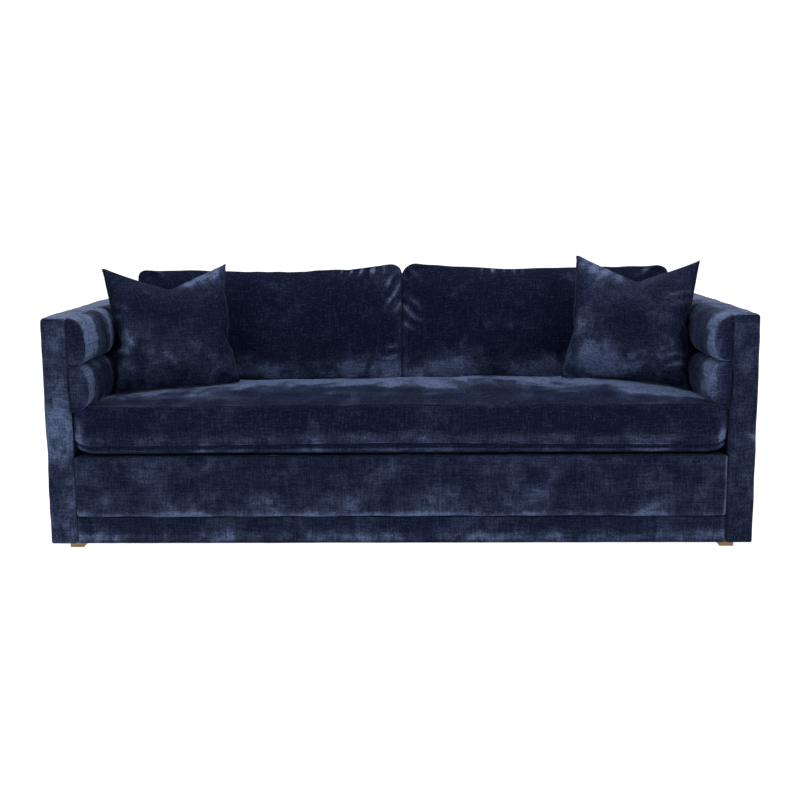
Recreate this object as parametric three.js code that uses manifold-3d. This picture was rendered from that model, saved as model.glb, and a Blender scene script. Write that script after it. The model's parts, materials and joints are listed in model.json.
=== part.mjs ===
// Tuxedo sofa: a low upholstered sofa whose arms are as high as its back, with two padded channels along the
// inside of each arm, one bench seat cushion, two loose back cushions and two loose corner pillows.
// Millimetres, +Z up, the front towards -Y. The origin is on the floor under the middle of the sofa.

import * as THREE from "three";
import { mergeVertices } from "three/addons/utils/BufferGeometryUtils.js";
import Module from "manifold-3d";

const wasm = await Module();
wasm.setup();

// Driving sizes of the whole sofa.
const overallWidth = 2235;
const overallDepth = 990;
const armTopHeight = 749;
const footHeight = 25;
const armThickness = 84;
const fit = 0.3; // clearance between pieces that touch
const overrun = 5; // how far a cutting solid runs past the piece that it cuts
const jointTolerance = 1e-3; // corners nearer than this are one corner

// Upholstery: cloth with its padding.
const coverThickness = 12;
const coverEdgeRadius = 10;
const coverCornerRadius = 15;
const dustClothThickness = 1.5;
const liningThickness = 2.5;

// Inside of the arms: two rolled channels, one over the other, each drawn in at one upright seam.
const channelProjection = 60;
const channelSeatGap = 4; // between the lower channels and the seat cushion's highest side
const channelEndRound = 9;
const channelSeamY = -132;
const channelSeamReach = 62; // how far from the seam a channel is back at its full projection
const channelSeamShare = 0.2; // what is left of the projection at the seam
const channelSeamStations = [1, 0.6, 0.3, 0.1, 0]; // shares of the reach
const channelEndAngles = [0, 30, 60, 90];
const rollSquareness = 3;
const rollTopSquareness = 5.5;
const rollSteps = 12;

// Hardwood and plywood frame.
const linerBoardThickness = 9;
const postDepth = 38;
const topRailThickness = 30;
const sideRailThickness = 25;
const sideRailHeight = 110;
const seatRailThickness = 25;
const frontRailTop = 294;
const crossRailThickness = 38;
const crossRailHeight = 100;
const footPlateThickness = 22;
const footPlateWidth = 118;
const footPlateDepth = 120;
const uprightThickness = 28;
const backRailHeight = 40;
const lowerRailHeight = 45;
const lowerRailThickness = 20;

// Seat suspension and deck, tipped backwards together with the seat cushion.
const seatPitch = THREE.MathUtils.degToRad(1.5);
const springWire = 4;
const springCount = 12;
const springWidth = 52;
const springBends = 12;
const springSideMargin = 80;
const tieWire = 2;
const tieWireCount = 2;
const deckThickness = 13;
const deckFrontInset = 65;

// Front of the base: a proud rail over a recessed band.
const railFaceInset = 3;
const railCoverBottom = 110;
const railCoverTop = 306.5;
const railCoverRound = 12;
const railFlapThickness = 6.5;
const bandInset = 13;
const bandEdgeRound = 4;
const bandTopGap = 1.5;

// Back of the sofa.
const backLean = THREE.MathUtils.degToRad(10);
const backPadThickness = 22;
const backPadBottomInset = 173; // from the sofa's rear face to the pad's lower front edge
const backPadBottom = 290;
const backPadTopRound = 12;
const backPadRoundEnd = 175; // degrees at which the rounding meets the leaning face
const webbingWidth = 60;
const webbingThickness = 2;
const webbingCount = 2;

// Feet: blocks that taper on the two faces turned away from the sofa's corner.
const footTopWidth = 60;
const footTaper = 16;
const footSideInset = 48.5;
const footFrontInset = 47;
const boltRadius = 4;
const boltHoleClearance = 0.3;
const boltFootDepth = 18;
const boltPlateDepth = 19;
const boltSides = 12;

// Bench seat cushion: boxed, with a crown on top.
const seatCushionSideGap = 3.5;
const seatCushionFrontInset = 3;
const seatCushionBackGap = 1.5;
const seatBoxing = 125;
const seatBottomCrown = 16;
const seatTopCrown = 33;
const seatCornerRadius = 34;
const seatSidePull = 3;
const seatSideDrop = 10; // how much lower the top lies along the arms
const seatCushionLift = 0.5;
const seatCoreMargin = 34;
const seatCoreHeight = 96;
const seatCoreClearance = 0.6;
const zipLength = 1400;
const zipHeight = 18;

// Loose back cushions.
const backCushionGap = 1.2; // between the two, and against the arm channels
const backCushionHeight = 413;
const backCushionBoxing = 192;
const backCushionCrown = 44;
const backCushionRearCrown = 12;
const backCushionCornerRadius = 34;
const backCushionTopPull = 26;
const backCushionSidePull = 7;
const backCushionStandoff = 1.5;
const backCushionSeatDrop = 51; // the seat's crown is lower where the back cushions stand

// How fast each face of a boxed cushion rises from its seam: a high value is flat with a round edge.
const crownFullness = 3.2;
const restingFullness = 12;
const crownRingShares = [0.4, 0.7, 0.86, 0.95, 0.99];
const edgePullFullness = 4; // how closely a drawn-in edge keeps to its own side
const sideDropFullness = 8;

// Knife-edged corner pillows with a chop in their top edge.
const pillowSize = 444;
const pillowSlump = 14; // how much lower the softer, left one stands
const pillowThickness = 140;
const pillowEdgeThickness = 7;
const pillowSidePull = 34;
const pillowBottomPull = 14;
const pillowChopDepth = 62;
const pillowChopWidth = 105;
const pillowChopPinch = 0.5; // share of the thickness that is lost in the chop
const pillowFilling = 0.55; // a low value fills the pillow out towards its edges
const pillowGrid = 16;

// Where each pillow's lower edge is centred, how far it is turned and how far it leans.
const pillowReach = pillowSize / 2;
const leftPillowRoom = 48; // from the arm to the pillow's reach
const rightPillowRoom = 47;
const pillowPlaces = {
  left: {
    size: pillowSize - pillowSlump,
    inset: pillowReach + leftPillowRoom,
    forward: 134,
    turn: 21.5,
    lean: 17,
    roll: -1.4,
  },
  right: {
    size: pillowSize,
    inset: pillowReach + rightPillowRoom,
    forward: 104,
    turn: -21.5,
    lean: 15.5,
    roll: 1.4,
  },
};
const pillowSink = 11; // the seat's crown is this much lower under the pillows

const velvet = new THREE.MeshStandardMaterial({ color: 0x232a45, roughness: 0.85, metalness: 0 });
const lining = new THREE.MeshStandardMaterial({ color: 0x1c2238, roughness: 0.95, metalness: 0 });
const hardwood = new THREE.MeshStandardMaterial({ color: 0xb98f5e, roughness: 0.7, metalness: 0 });
const footWood = new THREE.MeshStandardMaterial({ color: 0x8f734a, roughness: 0.5, metalness: 0 });
const steel = new THREE.MeshStandardMaterial({ color: 0x8d9094, roughness: 0.35, metalness: 1 });
const dustCloth = new THREE.MeshStandardMaterial({ color: 0x17181b, roughness: 1, metalness: 0 });
const webbing = new THREE.MeshStandardMaterial({ color: 0xc9bda4, roughness: 0.9, metalness: 0 });
const foam = new THREE.MeshStandardMaterial({ color: 0xe6dcb4, roughness: 0.95, metalness: 0 });
const zipTape = new THREE.MeshStandardMaterial({ color: 0x14182a, roughness: 0.6, metalness: 0 });

// Planes that many pieces share.
const outerX = overallWidth / 2;
const armInnerX = outerX - armThickness;
const frontY = -overallDepth / 2;
const rearY = overallDepth / 2;
const armRearY = rearY - coverThickness - fit;
const dustClothBottom = footHeight + fit;
const plateBottom = dustClothBottom + dustClothThickness + fit;
const plateTop = plateBottom + footPlateThickness;
const frameBottom = plateTop + fit;
const frameTop = armTopHeight - coverThickness - fit;
const frameFrontY = frontY + coverThickness + fit;
const frameRearY = armRearY - coverThickness - fit;
const frameOuterX = outerX - coverThickness - fit;
const linerX = armInnerX + 2 * fit;
const frameInnerX = linerX + linerBoardThickness + fit;
const span = 2 * (armInnerX - fit);
const pitchRise = Math.tan(seatPitch);
const leanRise = Math.tan(backLean);
const backPadY = rearY - backPadBottomInset;

// The height z of the back pad's front face gives its y, and the pieces behind it follow the same slope.
const backFaceY = (z) => backPadY + (z - backPadBottom) * leanRise;

// Heights at a given y of the planes that tip backwards: the springs' underside and the seat cushion's.
const springPlane = (y) => frontRailTop + fit - (y - (frameFrontY + 2 * seatRailThickness)) * pitchRise;
const seatBottomPlane = (y) => springPlane(y) + springWire + 2 * fit + deckThickness + seatCushionLift;
const seatRailFrontY = frameFrontY + coverThickness;
const backSeatRailY = frameRearY - seatRailThickness;

// Top of the seat cushion's crown, over the deck's front edge.
const seatCushionTop = seatBottomPlane(frontY + deckFrontInset) + seatBottomCrown + seatBoxing + seatTopCrown;

// The channels share the arm's height over the seat cushion.
const seatSideTop = seatBottomPlane(frontY) + seatBottomCrown + seatBoxing - seatSideDrop;
const channelBottom = seatSideTop + channelSeatGap;
const channelHeight = (armTopHeight - channelBottom) / 2;

// A named piece.
function mesh(name, geometry, material) {
  const made = new THREE.Mesh(geometry, material);
  made.name = name;
  return made;
}

// A plain block between two corners.
function block(name, material, [x0, x1], [y0, y1], [z0, z1]) {
  const made = mesh(name, new THREE.BoxGeometry(x1 - x0, y1 - y0, z1 - z0), material);
  made.position.set((x0 + x1) / 2, (y0 + y1) / 2, (z0 + z1) / 2);
  return made;
}

// The shape alone of such a block.
function blockGeometry([x0, x1], [y0, y1], [z0, z1]) {
  const geometry = new THREE.BoxGeometry(x1 - x0, y1 - y0, z1 - z0);
  return geometry.translate((x0 + x1) / 2, (y0 + y1) / 2, (z0 + z1) / 2);
}

// Extrusions with an optional rounding of both ends; the outline keeps its full size in between.
function extrude(outline, length, round) {
  const shape = new THREE.Shape(outline.map(([a, b]) => new THREE.Vector2(a, b)));
  const depth = length - 2 * round;
  const settings = { depth, steps: 1, bevelEnabled: round > 0 };
  Object.assign(settings, { bevelThickness: round, bevelSize: round, bevelOffset: -round, bevelSegments: 3 });
  return new THREE.ExtrudeGeometry(shape, settings).translate(0, 0, round);
}

// An outline in x and z, run from y0 to y1.
function runAlongY(outline, y0, y1, round = 0) {
  const turn = new THREE.Matrix4().makeBasis(
    new THREE.Vector3(1, 0, 0),
    new THREE.Vector3(0, 0, 1),
    new THREE.Vector3(0, -1, 0),
  );
  return extrude(outline, y1 - y0, round).applyMatrix4(turn).translate(0, y1, 0);
}

// An outline in y and z, run from x0 to x1.
function runAlongX(outline, x0, x1, round = 0) {
  const turn = new THREE.Matrix4().makeBasis(
    new THREE.Vector3(0, 1, 0),
    new THREE.Vector3(0, 0, 1),
    new THREE.Vector3(1, 0, 0),
  );
  return extrude(outline, x1 - x0, round).applyMatrix4(turn).translate(x0, 0, 0);
}

// A quarter circle's points about (a, b), from one angle to another, in degrees.
function arc(a, b, radius, from, to, steps = 4) {
  return Array.from({ length: steps + 1 }, (_, i) => {
    const angle = THREE.MathUtils.degToRad(from + ((to - from) * i) / steps);
    return [a + radius * Math.cos(angle), b + radius * Math.sin(angle)];
  });
}

// Solids are cut and joined as closed bodies, then turned back into meshes.
function solidOf(geometry) {
  const plain = new THREE.BufferGeometry().setAttribute("position", geometry.getAttribute("position"));
  if (geometry.index) plain.setIndex(geometry.index);
  const merged = mergeVertices(plain, jointTolerance);
  return new wasm.Manifold(
    new wasm.Mesh({
      numProp: 3,
      vertProperties: new Float32Array(merged.attributes.position.array),
      triVerts: new Uint32Array(merged.index.array),
    }),
  );
}

function geometryOf(solid) {
  const { vertProperties, triVerts } = solid.getMesh();
  const geometry = new THREE.BufferGeometry();
  geometry.setAttribute("position", new THREE.BufferAttribute(new Float32Array(vertProperties), 3));
  geometry.setIndex(new THREE.BufferAttribute(new Uint32Array(triVerts), 1));
  geometry.computeVertexNormals();
  return geometry;
}

function cut(geometry, ...tools) {
  return geometryOf(tools.reduce((left, tool) => left.subtract(solidOf(tool)), solidOf(geometry)));
}

function join(geometry, ...others) {
  return geometryOf(others.reduce((whole, other) => whole.add(solidOf(other)), solidOf(geometry)));
}

// A closed skin over rings of equally many points, with a middle point at each end.
function loft(rings, first, last) {
  const count = rings[0].length;
  const points = [...rings.flat(), first, last];
  const faces = [];
  rings.slice(1).forEach((_, r) => {
    for (let i = 0; i < count; i++) {
      const [a, b] = [r * count + i, r * count + ((i + 1) % count)];
      faces.push(a, b, b + count, a, b + count, a + count);
    }
  });
  const [start, end, top] = [points.length - 2, points.length - 1, (rings.length - 1) * count];
  for (let i = 0; i < count; i++) {
    const next = (i + 1) % count;
    faces.push(start, next, i, end, top + i, top + next);
  }
  const geometry = new THREE.BufferGeometry();
  geometry.setAttribute("position", new THREE.Float32BufferAttribute(points.flat(), 3));
  geometry.setIndex(faces);
  geometry.computeVertexNormals();
  return geometry;
}

// A rounded rectangle centred on the origin, its edges drawn in between the corners.
function cushionOutline(width, length, radius, pulls, edgeSteps = 8, cornerSteps = 4) {
  const [halfW, halfL] = [width / 2, length / 2];
  const corners = [
    [halfW - radius, halfL - radius, 0],
    [radius - halfW, halfL - radius, 90],
    [radius - halfW, radius - halfL, 180],
    [halfW - radius, radius - halfL, 270],
  ];
  const points = [];
  corners.forEach(([a, b, from], k) => {
    points.push(...arc(a, b, radius, from, from + 90, cornerSteps));
    const [c, d] = points[points.length - 1];
    const [nextA, nextB, nextFrom] = corners[(k + 1) % 4];
    const [[e, f]] = arc(nextA, nextB, radius, nextFrom, nextFrom, 1);
    const between = (from, to, i) => from + ((to - from) * i) / edgeSteps;
    for (let i = 1; i < edgeSteps; i++) points.push([between(c, e, i), between(d, f, i)]);
  });
  const drawn = (share) => Math.max(0, 1 - share * share);
  return points.map(([a, b]) => {
    const [u, v] = [a / halfW, b / halfL];
    const sides = pulls.side * drawn(v) * Math.sign(u) * u ** edgePullFullness;
    const ends = (v > 0 ? pulls.top : pulls.bottom) * drawn(u) * v ** edgePullFullness * Math.sign(v);
    return [a - sides, b - ends];
  });
}

// A boxed cushion lying flat: its underside's lowest point is at 0, its boxing lies between two seams, and its
// crown rises above them.
// Each face's rings give a share of the outline and the share of the crown that is still missing there.
function boxedCushion({ width, length, radius, pulls, boxing, bottomCrown, topCrown, sideDrop = 0 }) {
  const outline = cushionOutline(width, length, radius, pulls);
  const shares = crownRingShares;
  const bulge = Math.min(pulls.side, boxing / 2);
  const seamHeight = bottomCrown + boxing;
  const dropped = (a, height) => sideDrop * (height / seamHeight) * ((2 * a) / width) ** sideDropFullness;
  const ring = (share, height, inset = 0) =>
    outline.map(([a, b]) => {
      const [x, y] = [a * share - inset * Math.sign(a), b * share - inset * Math.sign(b)];
      return [x, y, height > bottomCrown ? height - dropped(x, height) : height];
    });
  const middle = bottomCrown + boxing / 2;
  const rings = [
    ...shares.map((share) => ring(share, bottomCrown * share ** restingFullness)),
    ring(1, bottomCrown, bulge / 2),
    ring(1, middle),
    ring(1, seamHeight, bulge / 2),
    ...shares.toReversed().map((share) => ring(share, seamHeight + topCrown * (1 - share ** crownFullness))),
  ];
  return loft(rings, [0, 0, 0], [0, 0, seamHeight + topCrown]);
}

// A rolled channel's outline in projection and height: a flat back, and a face rounded like a bolster.
function rollOutline(bottom, top, projection, lowPower, highPower) {
  const [centre, half] = [(bottom + top) / 2, (top - bottom) / 2];
  return Array.from({ length: 2 * rollSteps + 1 }, (_, i) => {
    const angle = (Math.PI / 2) * (i / rollSteps - 1);
    const power = 2 / (angle < 0 ? lowPower : highPower);
    const rise = Math.sign(angle) * Math.abs(Math.sin(angle)) ** power;
    return [projection * Math.max(0, Math.cos(angle)) ** power, centre + half * rise];
  });
}

// One arm, drawn for the +X side; the other is its mirror image.
function makeArm(side) {
  const arm = new THREE.Group();
  const r = coverCornerRadius;
  const [left, right, low, high] = [armInnerX, outerX, footHeight, armTopHeight];
  const face = [[left, low], [right, low], ...arc(right - r, high - r, r, 0, 90), [left, high]];
  const wrapped = runAlongY(face, frontY, armRearY, coverEdgeRadius);
  const hollow = blockGeometry(
    [left - overrun, right - coverThickness],
    [frontY + coverThickness, armRearY - coverThickness],
    [low - overrun, high - coverThickness],
  );
  arm.add(mesh(`arm_cover_${side}`, cut(wrapped, hollow), velvet));

  const postX = [frameInnerX, frameOuterX];
  const frontPostY = [frameFrontY, frameFrontY + postDepth];
  const rearPostY = [frameRearY - postDepth, frameRearY];
  const betweenPosts = [frontPostY[1] + fit, rearPostY[0] - fit];
  arm.add(
    block(`arm_front_post_${side}`, hardwood, postX, frontPostY, [frameBottom, frameTop]),
    block(`arm_rear_post_${side}`, hardwood, postX, rearPostY, [frameBottom, frameTop]),
    block(`arm_top_rail_${side}`, hardwood, postX, betweenPosts, [frameTop - topRailThickness, frameTop]),
    block(
      `arm_side_rail_${side}`,
      hardwood,
      [frameOuterX - sideRailThickness, frameOuterX],
      betweenPosts,
      [frameBottom, frameBottom + sideRailHeight],
    ),
    block(
      `arm_liner_board_${side}`,
      hardwood,
      [linerX, linerX + linerBoardThickness],
      [frameFrontY, frameRearY],
      [frameBottom, frameTop],
    ),
  );

  const seam = armTopHeight - channelHeight;
  arm.add(
    makeChannel(`arm_channel_upper_${side}`, seam + fit, armTopHeight, rollTopSquareness),
    makeChannel(`arm_channel_lower_${side}`, channelBottom, seam, rollSquareness),
  );
  const liningTop = channelBottom - fit;
  const liningBottom = railCoverTop + deckThickness;
  arm.add(
    block(
      `arm_lower_lining_${side}`,
      lining,
      [armInnerX - liningThickness, armInnerX],
      [frontY + deckFrontInset, backFaceY(liningBottom) - fit],
      [liningBottom, liningTop],
    ),
  );
  return arm;
}

// A channel from the arm's front to the leaning face of the back pad. Its front end has a rounded edge, and
// at the upright seam it falls in and swells again, as a roll does where it is sewn down.
function makeChannel(name, bottom, top, topPower) {
  const outline = rollOutline(bottom, top, channelProjection, rollSquareness, topPower);
  const middle = (bottom + top) / 2;
  const station = (y, share, inset = 0) =>
    outline.map(([out, z]) => {
      const shrink = 1 - inset / (middle - bottom);
      return [armInnerX - Math.max(0, out * share - inset), y, middle + (z - middle) * shrink];
    });
  const r = channelEndRound;
  const front = channelEndAngles.map((degrees) => {
    const angle = THREE.MathUtils.degToRad(degrees);
    return station(frontY + r * (1 - Math.sin(angle)), 1, r * (1 - Math.cos(angle)));
  });
  const swell = (t) => channelSeamShare + (1 - channelSeamShare) * Math.sqrt(1 - (1 - t) ** 2);
  const into = channelSeamStations.map((t) => station(channelSeamY - t * channelSeamReach, swell(t)));
  const outOf = channelSeamStations
    .slice(0, -1)
    .toReversed()
    .map((t) => station(channelSeamY + t * channelSeamReach, swell(t)));
  const rings = [...front.toReversed(), ...into, ...outOf, station(rearY, 1)];
  const cap = (y) => [armInnerX - channelProjection / 2, y, middle];
  return mesh(name, cut(loft(rings, cap(frontY), cap(rearY)), behindBackFace(fit)), velvet);
}

// Everything behind the back pad's front face, less a gap, as a tool for cutting what runs up to it.
function behindBackFace(gap) {
  const [low, high] = [-overrun, armTopHeight + armThickness];
  const outline = [
    [backFaceY(low) - gap, low],
    [rearY + armThickness, low],
    [rearY + armThickness, high],
    [backFaceY(high) - gap, high],
  ];
  return runAlongX(outline, -outerX - overrun, outerX + overrun);
}

// Rails of the seat, from arm to arm and from front to back.
function makeBase() {
  const base = new THREE.Group();
  const across = [-span / 2, span / 2];
  const backRailTop = springPlane(frameRearY) - fit;
  const railRearY = seatRailFrontY + seatRailThickness;
  base.add(
    block("front_rail", hardwood, across, [seatRailFrontY, railRearY], [frameBottom, frontRailTop]),
    block("back_rail", hardwood, across, [backSeatRailY, frameRearY], [frameBottom, backRailTop]),
  );
  const crossPlaces = { left: -span / 4, centre: 0, right: span / 4 };
  for (const [place, x] of Object.entries(crossPlaces)) {
    base.add(
      block(
        `cross_rail_${place}`,
        hardwood,
        [x - crossRailThickness / 2, x + crossRailThickness / 2],
        [railRearY + fit, backSeatRailY - fit],
        [frameBottom, frameBottom + crossRailHeight],
      ),
    );
  }
  return base;
}

// The upholstered front: a rounded rail proud of the band under it.
function makeFrontCovers() {
  const halfSpan = span / 2;
  const [face, backing] = [frontY + railFaceInset, seatRailFrontY - fit];
  const r = railCoverRound;
  const padOutline = [
    [backing, railCoverBottom],
    [backing, railCoverTop],
    ...arc(face + r, railCoverTop - r, r, 90, 180),
    ...arc(face + r / 2, railCoverBottom + r / 2, r / 2, 180, 270, 2),
  ].toReversed();
  const pad = runAlongX(padOutline, -halfSpan, halfSpan, railCoverRound / 2);
  const flap = blockGeometry(
    [railCoverRound - halfSpan, halfSpan - railCoverRound],
    [backing - overrun, frontY + deckFrontInset - fit],
    [railCoverTop - railFlapThickness, railCoverTop],
  );
  const bandTop = railCoverBottom - bandTopGap;
  const bandOutline = [
    [frontY + bandInset, footHeight],
    [backing, footHeight],
    [backing, bandTop],
    [frontY + bandInset, bandTop],
  ];
  return [
    mesh("front_rail_cover", join(pad, flap), velvet),
    mesh("base_band_cover", runAlongX(bandOutline, -halfSpan, halfSpan, bandEdgeRound), velvet),
  ];
}

// Back unit: leaning uprights between a lower and an upper rail, webbing, inside pad and outside cover.
function makeBack() {
  const back = new THREE.Group();
  const halfSpan = span / 2;
  const webY = (z) => backFaceY(z) + (backPadThickness + fit) / Math.cos(backLean);
  const frameY = (z) => webY(z) + (webbingThickness + 2 * fit) / Math.cos(backLean);
  const topRailBottom = frameTop - backRailHeight;
  const lowerRailBottom = backPadBottom + deckThickness;
  const lowerRailTop = lowerRailBottom + lowerRailHeight;
  const lowerRailY = frameY(lowerRailTop);
  const backRailTop = springPlane(frameRearY) - fit;
  const springTop = backPadBottom + fit;

  const uprightOutline = [
    [frameRearY, backRailTop + springWire + 2 * fit],
    [frameRearY, topRailBottom - fit],
    [frameY(topRailBottom), topRailBottom - fit],
    [frameY(lowerRailTop), lowerRailTop + fit],
    [lowerRailY + lowerRailThickness + fit, lowerRailTop + fit],
    [lowerRailY + lowerRailThickness + fit, springTop],
    [backSeatRailY, springTop],
    [backSeatRailY, backRailTop + springWire + 2 * fit],
  ].toReversed();
  const reach = halfSpan - uprightThickness;
  const places = { left: -reach, centre: -uprightThickness / 2, right: reach };
  for (const [place, x] of Object.entries(places)) {
    const start = place === "left" ? x - uprightThickness : x;
    const upright = runAlongX(uprightOutline, start, start + uprightThickness);
    back.add(mesh(`back_upright_${place}`, upright, hardwood));
  }
  back.add(
    block(
      "back_top_rail",
      hardwood,
      [-halfSpan, halfSpan],
      [frameY(frameTop), frameRearY],
      [topRailBottom, frameTop],
    ),
    block(
      "back_lower_rail",
      hardwood,
      [-halfSpan, halfSpan],
      [lowerRailY, lowerRailY + lowerRailThickness],
      [lowerRailBottom, lowerRailTop],
    ),
  );

  for (let i = 1; i <= webbingCount; i++) {
    const z = lowerRailTop + ((topRailBottom - lowerRailTop) * i) / (webbingCount + 1);
    const size = [span - 2 * fit, webbingThickness, webbingWidth];
    const strap = mesh(`back_webbing_${i}`, new THREE.BoxGeometry(...size), webbing);
    strap.position.set(0, webY(z) + (webbingThickness / 2 + fit) / Math.cos(backLean), z);
    strap.rotation.x = -backLean;
    back.add(strap);
  }

  const slab = backPadThickness / Math.cos(backLean);
  const padTop = armTopHeight;
  const r = backPadTopRound;
  const padOutline = [
    [backFaceY(backPadBottom), backPadBottom],
    [backFaceY(backPadBottom) + slab, backPadBottom],
    [backFaceY(padTop) + slab, padTop],
    ...arc(backFaceY(padTop - r) + r, padTop - r, r, 90, backPadRoundEnd),
  ];
  back.add(mesh("back_pad", runAlongX(padOutline, -halfSpan, halfSpan), velvet));

  const capY = backFaceY(padTop) + slab + fit;
  const rear = coverCornerRadius;
  const wallOutline = [
    [rearY - coverThickness, footHeight],
    [rearY, footHeight],
    ...arc(rearY - rear, armTopHeight - rear, rear, 0, 90),
    [rearY - coverThickness - rear / 2, armTopHeight],
    [rearY - coverThickness - rear / 2, armTopHeight - coverThickness],
    [rearY - coverThickness, armTopHeight - coverThickness - rear / 2],
  ];
  const capOutline = [
    [capY, armTopHeight - coverThickness],
    [rearY - rear, armTopHeight - coverThickness],
    [rearY - rear, armTopHeight],
    [capY, armTopHeight],
  ];
  const wall = cut(
    runAlongX(wallOutline, -outerX, outerX),
    ...[-1, 1].map((side) =>
      blockGeometry(
        side < 0 ? [-outerX - overrun, -halfSpan] : [halfSpan, outerX + overrun],
        [rearY - coverThickness - rear, rearY - coverThickness],
        [footHeight - overrun, armTopHeight + overrun],
      ),
    ),
  );
  back.add(mesh("back_cover", join(wall, runAlongX(capOutline, -halfSpan, halfSpan)), velvet));
  return back;
}

// The sinuous springs' outline: a wire folded to and fro across its own run, drawn flat.
function springOutline(length) {
  const [half, reach, step] = [springWire / 2, springWidth / 2, length / springBends];
  const path = [];
  for (let i = 0; i < springBends; i++) {
    const side = i % 2 ? reach : -reach;
    path.push([side, step * i + half], [side, step * (i + 1) - half]);
  }
  const offset = (sign) =>
    path.map(([x, y], i) => {
      const [before, after] = [path[i - 1] ?? path[i], path[i + 1] ?? path[i]];
      const along = new THREE.Vector2(after[0] - before[0], after[1] - before[1]).normalize();
      return [x - sign * along.y * half, y + sign * along.x * half];
    });
  return [...offset(-1), ...offset(1).toReversed()];
}

// Springs tied into one bank by cross wires, laid over the front and back rails.
function makeSprings() {
  const [y0, y1] = [seatRailFrontY, frameRearY];
  const run = (y1 - y0) / Math.cos(seatPitch);
  const outline = springOutline(run);
  const width = span - 2 * springSideMargin;
  const springs = Array.from({ length: springCount }, (_, i) =>
    extrude(outline, springWire, 0).translate(-width / 2 + (width * i) / (springCount - 1), 0, 0),
  );
  // Each tie wire crosses the springs' straight stretches, half way between two of their bends.
  const bend = run / springBends;
  const ties = Array.from({ length: tieWireCount }, (_, i) => {
    const y = bend * (Math.round((springBends * (i + 1)) / (tieWireCount + 1)) + 1 / 2);
    const reach = (width + springWidth + tieWire) / 2;
    return blockGeometry(
      [-reach, reach],
      [y - tieWire / 2, y + tieWire / 2],
      [(springWire - tieWire) / 2, (springWire + tieWire) / 2],
    );
  });
  const bank = mesh("seat_springs", join(...springs, ...ties), steel);
  bank.position.set(0, y0, springPlane(y0) + fit);
  bank.rotation.x = -seatPitch;
  return bank;
}

// The tipped plane that the deck and the seat cushion lie in, with its origin over the front rail.
function makeSeat() {
  const seat = new THREE.Group();
  const deckY = frontY + deckFrontInset;
  seat.position.set(0, deckY, springPlane(deckY) + springWire + 2 * fit);
  seat.rotation.x = -seatPitch;
  const deckRun = backFaceY(backPadBottom) - fit - deckY;
  const halfSpan = span / 2;
  seat.add(block("seat_deck", lining, [-halfSpan, halfSpan], [fit, deckRun], [fit, deckThickness]));

  const width = 2 * (armInnerX - seatCushionSideGap);
  const frontEdge = seatCushionFrontInset - deckFrontInset;
  const rearEdge = deckRun - seatCushionBackGap;
  const length = rearEdge - frontEdge;
  const pulls = { side: seatSidePull, top: seatSidePull, bottom: seatSidePull };
  const whole = boxedCushion({
    width,
    length,
    radius: seatCornerRadius,
    pulls,
    boxing: seatBoxing,
    bottomCrown: seatBottomCrown,
    topCrown: seatTopCrown,
    sideDrop: seatSideDrop,
  });
  const centreY = (frontEdge + rearEdge) / 2;
  const bottom = deckThickness + seatCushionLift;
  whole.translate(0, centreY, bottom);

  const coreZ = bottom + seatBottomCrown + (seatBoxing - seatCoreHeight) / 2;
  const core = (grow) =>
    blockGeometry(
      [seatCoreMargin - width / 2 - grow, width / 2 - seatCoreMargin + grow],
      [frontEdge + seatCoreMargin - grow, rearEdge - seatCoreMargin + grow],
      [coreZ - grow, coreZ + seatCoreHeight + grow],
    );
  const zipZ = coreZ + seatCoreHeight / 2;
  const zip = (grow, out) =>
    blockGeometry(
      [-zipLength / 2 - grow, zipLength / 2 + grow],
      [rearEdge - seatCoreMargin + 2 * seatCoreClearance, rearEdge - seatSidePull + out],
      [zipZ - zipHeight / 2 - grow, zipZ + zipHeight / 2 + grow],
    );
  const slot = zip(fit, overrun).translate(0, -overrun / 2, 0);
  seat.add(
    mesh("seat_cushion", cut(whole, core(seatCoreClearance), slot), velvet),
    mesh("seat_cushion_core", core(0), foam),
    mesh("seat_cushion_zip", zip(0, 0).translate(0, fit, 0), zipTape),
  );
  return seat;
}

// A loose back cushion, leaning on the back pad.
function makeBackCushion(name, side) {
  const width = armInnerX - channelProjection - 1.5 * backCushionGap;
  const geometry = boxedCushion({
    width,
    length: backCushionHeight,
    radius: backCushionCornerRadius,
    pulls: { side: backCushionSidePull, top: backCushionTopPull, bottom: 0 },
    boxing: backCushionBoxing,
    bottomCrown: backCushionRearCrown,
    topCrown: backCushionCrown,
  });
  // Stand it up: its crown turns to the front and its length runs up the back.
  const stand = new THREE.Matrix4().makeBasis(
    new THREE.Vector3(1, 0, 0),
    new THREE.Vector3(0, Math.sin(backLean), Math.cos(backLean)),
    new THREE.Vector3(0, -Math.cos(backLean), Math.sin(backLean)),
  );
  geometry.translate(0, backCushionHeight / 2, 0).applyMatrix4(stand);
  const cushion = mesh(name, geometry, velvet);
  const low = seatCushionTop - backCushionSeatDrop;
  cushion.position.set(side * (width / 2 + backCushionGap / 2), backFaceY(low) - backCushionStandoff, low);
  return cushion;
}

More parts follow.
